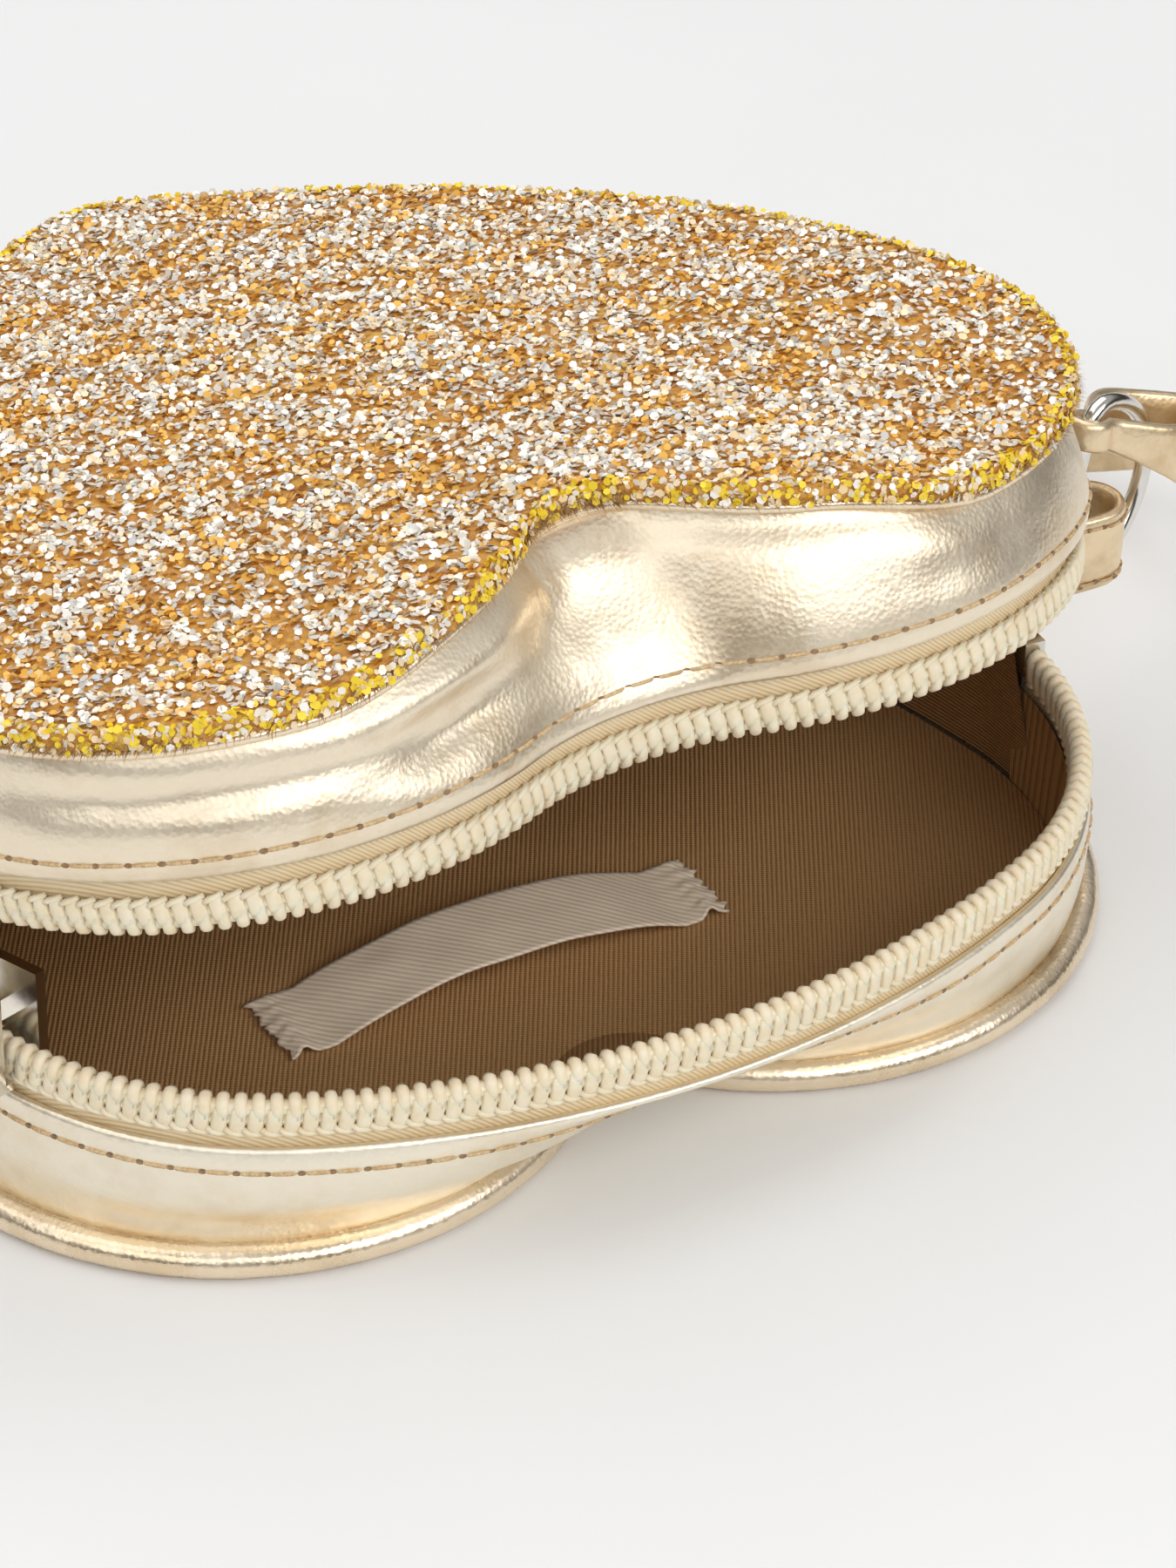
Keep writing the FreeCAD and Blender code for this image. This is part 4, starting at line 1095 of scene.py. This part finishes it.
def ring_path():
    """The ring's wire: bar, corners and bow, from its middle line."""
    half, corner = 10.5, 2.5
    bar = half - corner
    bends = [(corner - corner * math.cos(a), bar + corner * math.sin(a)) for a in (0.4, 0.8, 1.2)]
    turns = [k * math.pi / 24 for k in range(25)]
    path = [Vector((0, 0, bar * (k / 4 - 1))) for k in range(9)]
    path += [Vector((x, 0, z)) for x, z in bends]
    path += [Vector((corner + half * math.sin(a), 0, half * math.cos(a))) for a in turns]
    return path + [Vector((x, 0, -z)) for x, z in bends[::-1]]


WIRE_R, TAB_THICK, LOOP_THICK = 0.95, 1.2, 1.3
for name, side, height in (("right", 1, 29.2), ("left", -1, 25.6)):
    tab_frame, ring_frame = side_frames(side, height)
    tab = band_object(
        f"{name}_tab_loop", tab_path(), tab_width, TAB_THICK, tab_centre, tab_frame, STRAP_GOLD, 3
    )
    place(tab, "back_half", "gold_leather", f"{name}_tab")
    edge_stitches(f"{name}_tab_stitching", tab_path()[5:-5], tab_width, tab_centre, "back_half", tab_frame)
    wire = [ring_frame @ p for p in ring_path()]
    ring = loop_object(f"{name}_ring_wire", wire, WIRE_R, 16, CHROME)
    place(ring, f"{name}_ring_set", "metal", f"{name}_ring")
    end = band_object(
        f"{name}_strap_loop", loop_path(), loop_width, LOOP_THICK, loop_centre, ring_frame, STRAP_GOLD, 5
    )
    place(end, f"{name}_ring_set", "strap", f"{name}_strap_end")

for name in ("zip_slider", "zip_pull", "lower_zip_stops", "upper_zip_stops"):
    coat(name, CHROME)

# Strap: one band from the right ring through the coil to the left ring.
STRAP_WIDE, STRAP_THICK = 8.0, 2.2
RIGHT_RUN = [(94.8, 11.9, 32.6), (104.9, 15.2, 29.9), (111, 30, 18.3), (109, 46, 8.3), (99, 60, 4.1)]
LEFT_RUN = [
    (57.7, 98, 12.6), (37.8, 105, 7.5), (15, 110.5, 4.1), (-10, 111.5, 4.1), (-34, 107.5, 4.1),
    (-56, 96.9, 4.1), (-76, 82, 4.1), (-93, 64, 4.7), (-106, 45, 9), (-110, 28.1, 17.7),
    (-104.9, 15.2, 26.3), (-94.8, 11.9, 29),
]


def coil_points():
    """Two layers of turns: inwards on the floor, a climbing half turn, outwards on top."""
    step, reach, around = 1.65, 27.0, 8
    inwards = [reach - step * k for k in range(6)]
    radii = inwards + inwards[-2:0:-1] + [reach]
    at = Vector((72 + reach, 71, 4.1))
    points = []
    for k, radius in enumerate(radii):
        side = 1 if k % 2 == 0 else -1
        centre = at - Vector((side * radius, 0, 0))
        climb = 8.6 if k == 5 else 0
        last = around if k < 10 else around // 2
        for j in range(last):
            turn = math.pi * (j + 0.5) / around
            lift = climb * (1 - math.cos(turn)) / 2
            swing = side * 1.012 * radius
            points.append(centre + Vector((swing * math.cos(turn), swing * math.sin(turn), lift)))
        at = centre + Vector((-side * radius, 0, climb))
    return points


def spline_points(route):
    """Points along a smooth curve with the route as its control points."""
    curve = bpy.data.curves.new("strap_route", "CURVE")
    curve.dimensions = "3D"
    spline = curve.splines.new("NURBS")
    spline.points.add(len(route) - 1)
    for point, p in zip(spline.points, route):
        point.co = (*(p * MM), 1)
    spline.order_u = 3
    spline.use_endpoint_u = True
    spline.resolution_u = 6
    guide = bpy.data.objects.new("strap_route", curve)
    mesh = bpy.data.meshes.new_from_object(guide)
    points = [v.co / MM for v in mesh.vertices]
    bpy.data.objects.remove(guide)
    return points


route = [Vector(p) for p in RIGHT_RUN] + coil_points() + [Vector(p) for p in LEFT_RUN]
strap_path = spline_points(route)
strap = band_object(
    "shoulder_strap", strap_path, lambda x: STRAP_WIDE, STRAP_THICK, lambda x: 0, ROOT, STRAP_GOLD, 8
)
place(strap, "back_half", "strap", "strap_right_run", "strap_coil", "strap_left_run")

# Floor, light and camera.
FLOOR_REACH, FLOOR_Z = 3000, -0.05
corners = [Vector((x, y, 0)) * FLOOR_REACH for x, y in ((-1, -1), (1, -1), (1, 1), (-1, 1))]
floor = mesh_object("floor", raised(corners, FLOOR_Z), [(0, 1, 2, 3)], PAPER)


def area_light(name, spot, aim, size, power):
    """Oblong light of the given size that faces its aim."""
    light = bpy.data.lights.new(name, "AREA")
    light.shape = "RECTANGLE"
    light.size, light.size_y = (s * MM for s in size)
    light.energy = power
    lamp = bpy.data.objects.new(name, light)
    bpy.context.scene.collection.objects.link(lamp)
    turn = (Vector(spot) - Vector(aim)).to_track_quat("Z", "Y").to_matrix().to_4x4()
    lamp.matrix_world = Matrix.Translation(Vector(spot) * MM) @ turn


area_light("overhead_box", (-100, 350, 800), (0, 20, 0), (1500, 1100), 5.8)
area_light("front_box", (225, -830, 640), (0, -20, 10), (1200, 560), 5.5)
area_light("left_box", (-700, -420, 560), (0, -10, 15), (900, 500), 1.6)


def studio_world():
    """Even sky with a darker band at the horizon, as the walls of a room."""
    world = bpy.data.worlds.new("studio")
    world.use_nodes = True
    nodes, links = world.node_tree.nodes, world.node_tree.links
    ray = nodes.new("ShaderNodeTexCoord")
    split = nodes.new("ShaderNodeSeparateXYZ")
    ramp = nodes.new("ShaderNodeValToRGB")
    links.new(ray.outputs["Generated"], split.inputs["Vector"])
    links.new(split.outputs["Z"], ramp.inputs["Fac"])
    links.new(ramp.outputs["Color"], nodes["Background"].inputs["Color"])
    low, high = ramp.color_ramp.elements
    low.position, low.color = 0.22, (0.12, 0.10, 0.08, 1)
    high.position, high.color = 0.55, (1, 1, 1, 1)
    nodes["Background"].inputs["Strength"].default_value = 0.45
    return world


bpy.context.scene.world = studio_world()
bpy.context.scene.view_settings.view_transform = "Standard"


def photo_camera():
    """Camera at the photograph's viewing angle, for an image of 1350 by 1800 pixels."""
    azimuth, elevation, roll = math.radians(-30.22), math.radians(34.96), math.radians(1.66)
    aim, distance = Vector((10.96, 2.07, 17.33)), 458.1
    focal_pixels, image_height, sensor = 5132, 1800, 36.0
    level = math.cos(elevation)
    back = Vector((math.sin(azimuth) * level, -math.cos(azimuth) * level, math.sin(elevation)))
    right = Vector((math.cos(azimuth), math.sin(azimuth), 0))
    up = back.cross(right)
    right, up = right * math.cos(roll) + up * math.sin(roll), up * math.cos(roll) - right * math.sin(roll)
    spot = (aim + back * distance) * MM
    data = bpy.data.cameras.new("photo_camera")
    data.sensor_fit = "VERTICAL"
    data.sensor_height = sensor
    data.lens = sensor * focal_pixels / image_height
    data.clip_start = 0.01
    camera = bpy.data.objects.new("photo_camera", data)
    axes = Matrix((right, up, back)).transposed().to_4x4()
    camera.matrix_world = Matrix.Translation(spot) @ axes
    bpy.context.scene.collection.objects.link(camera)
    bpy.context.scene.camera = camera


photo_camera()
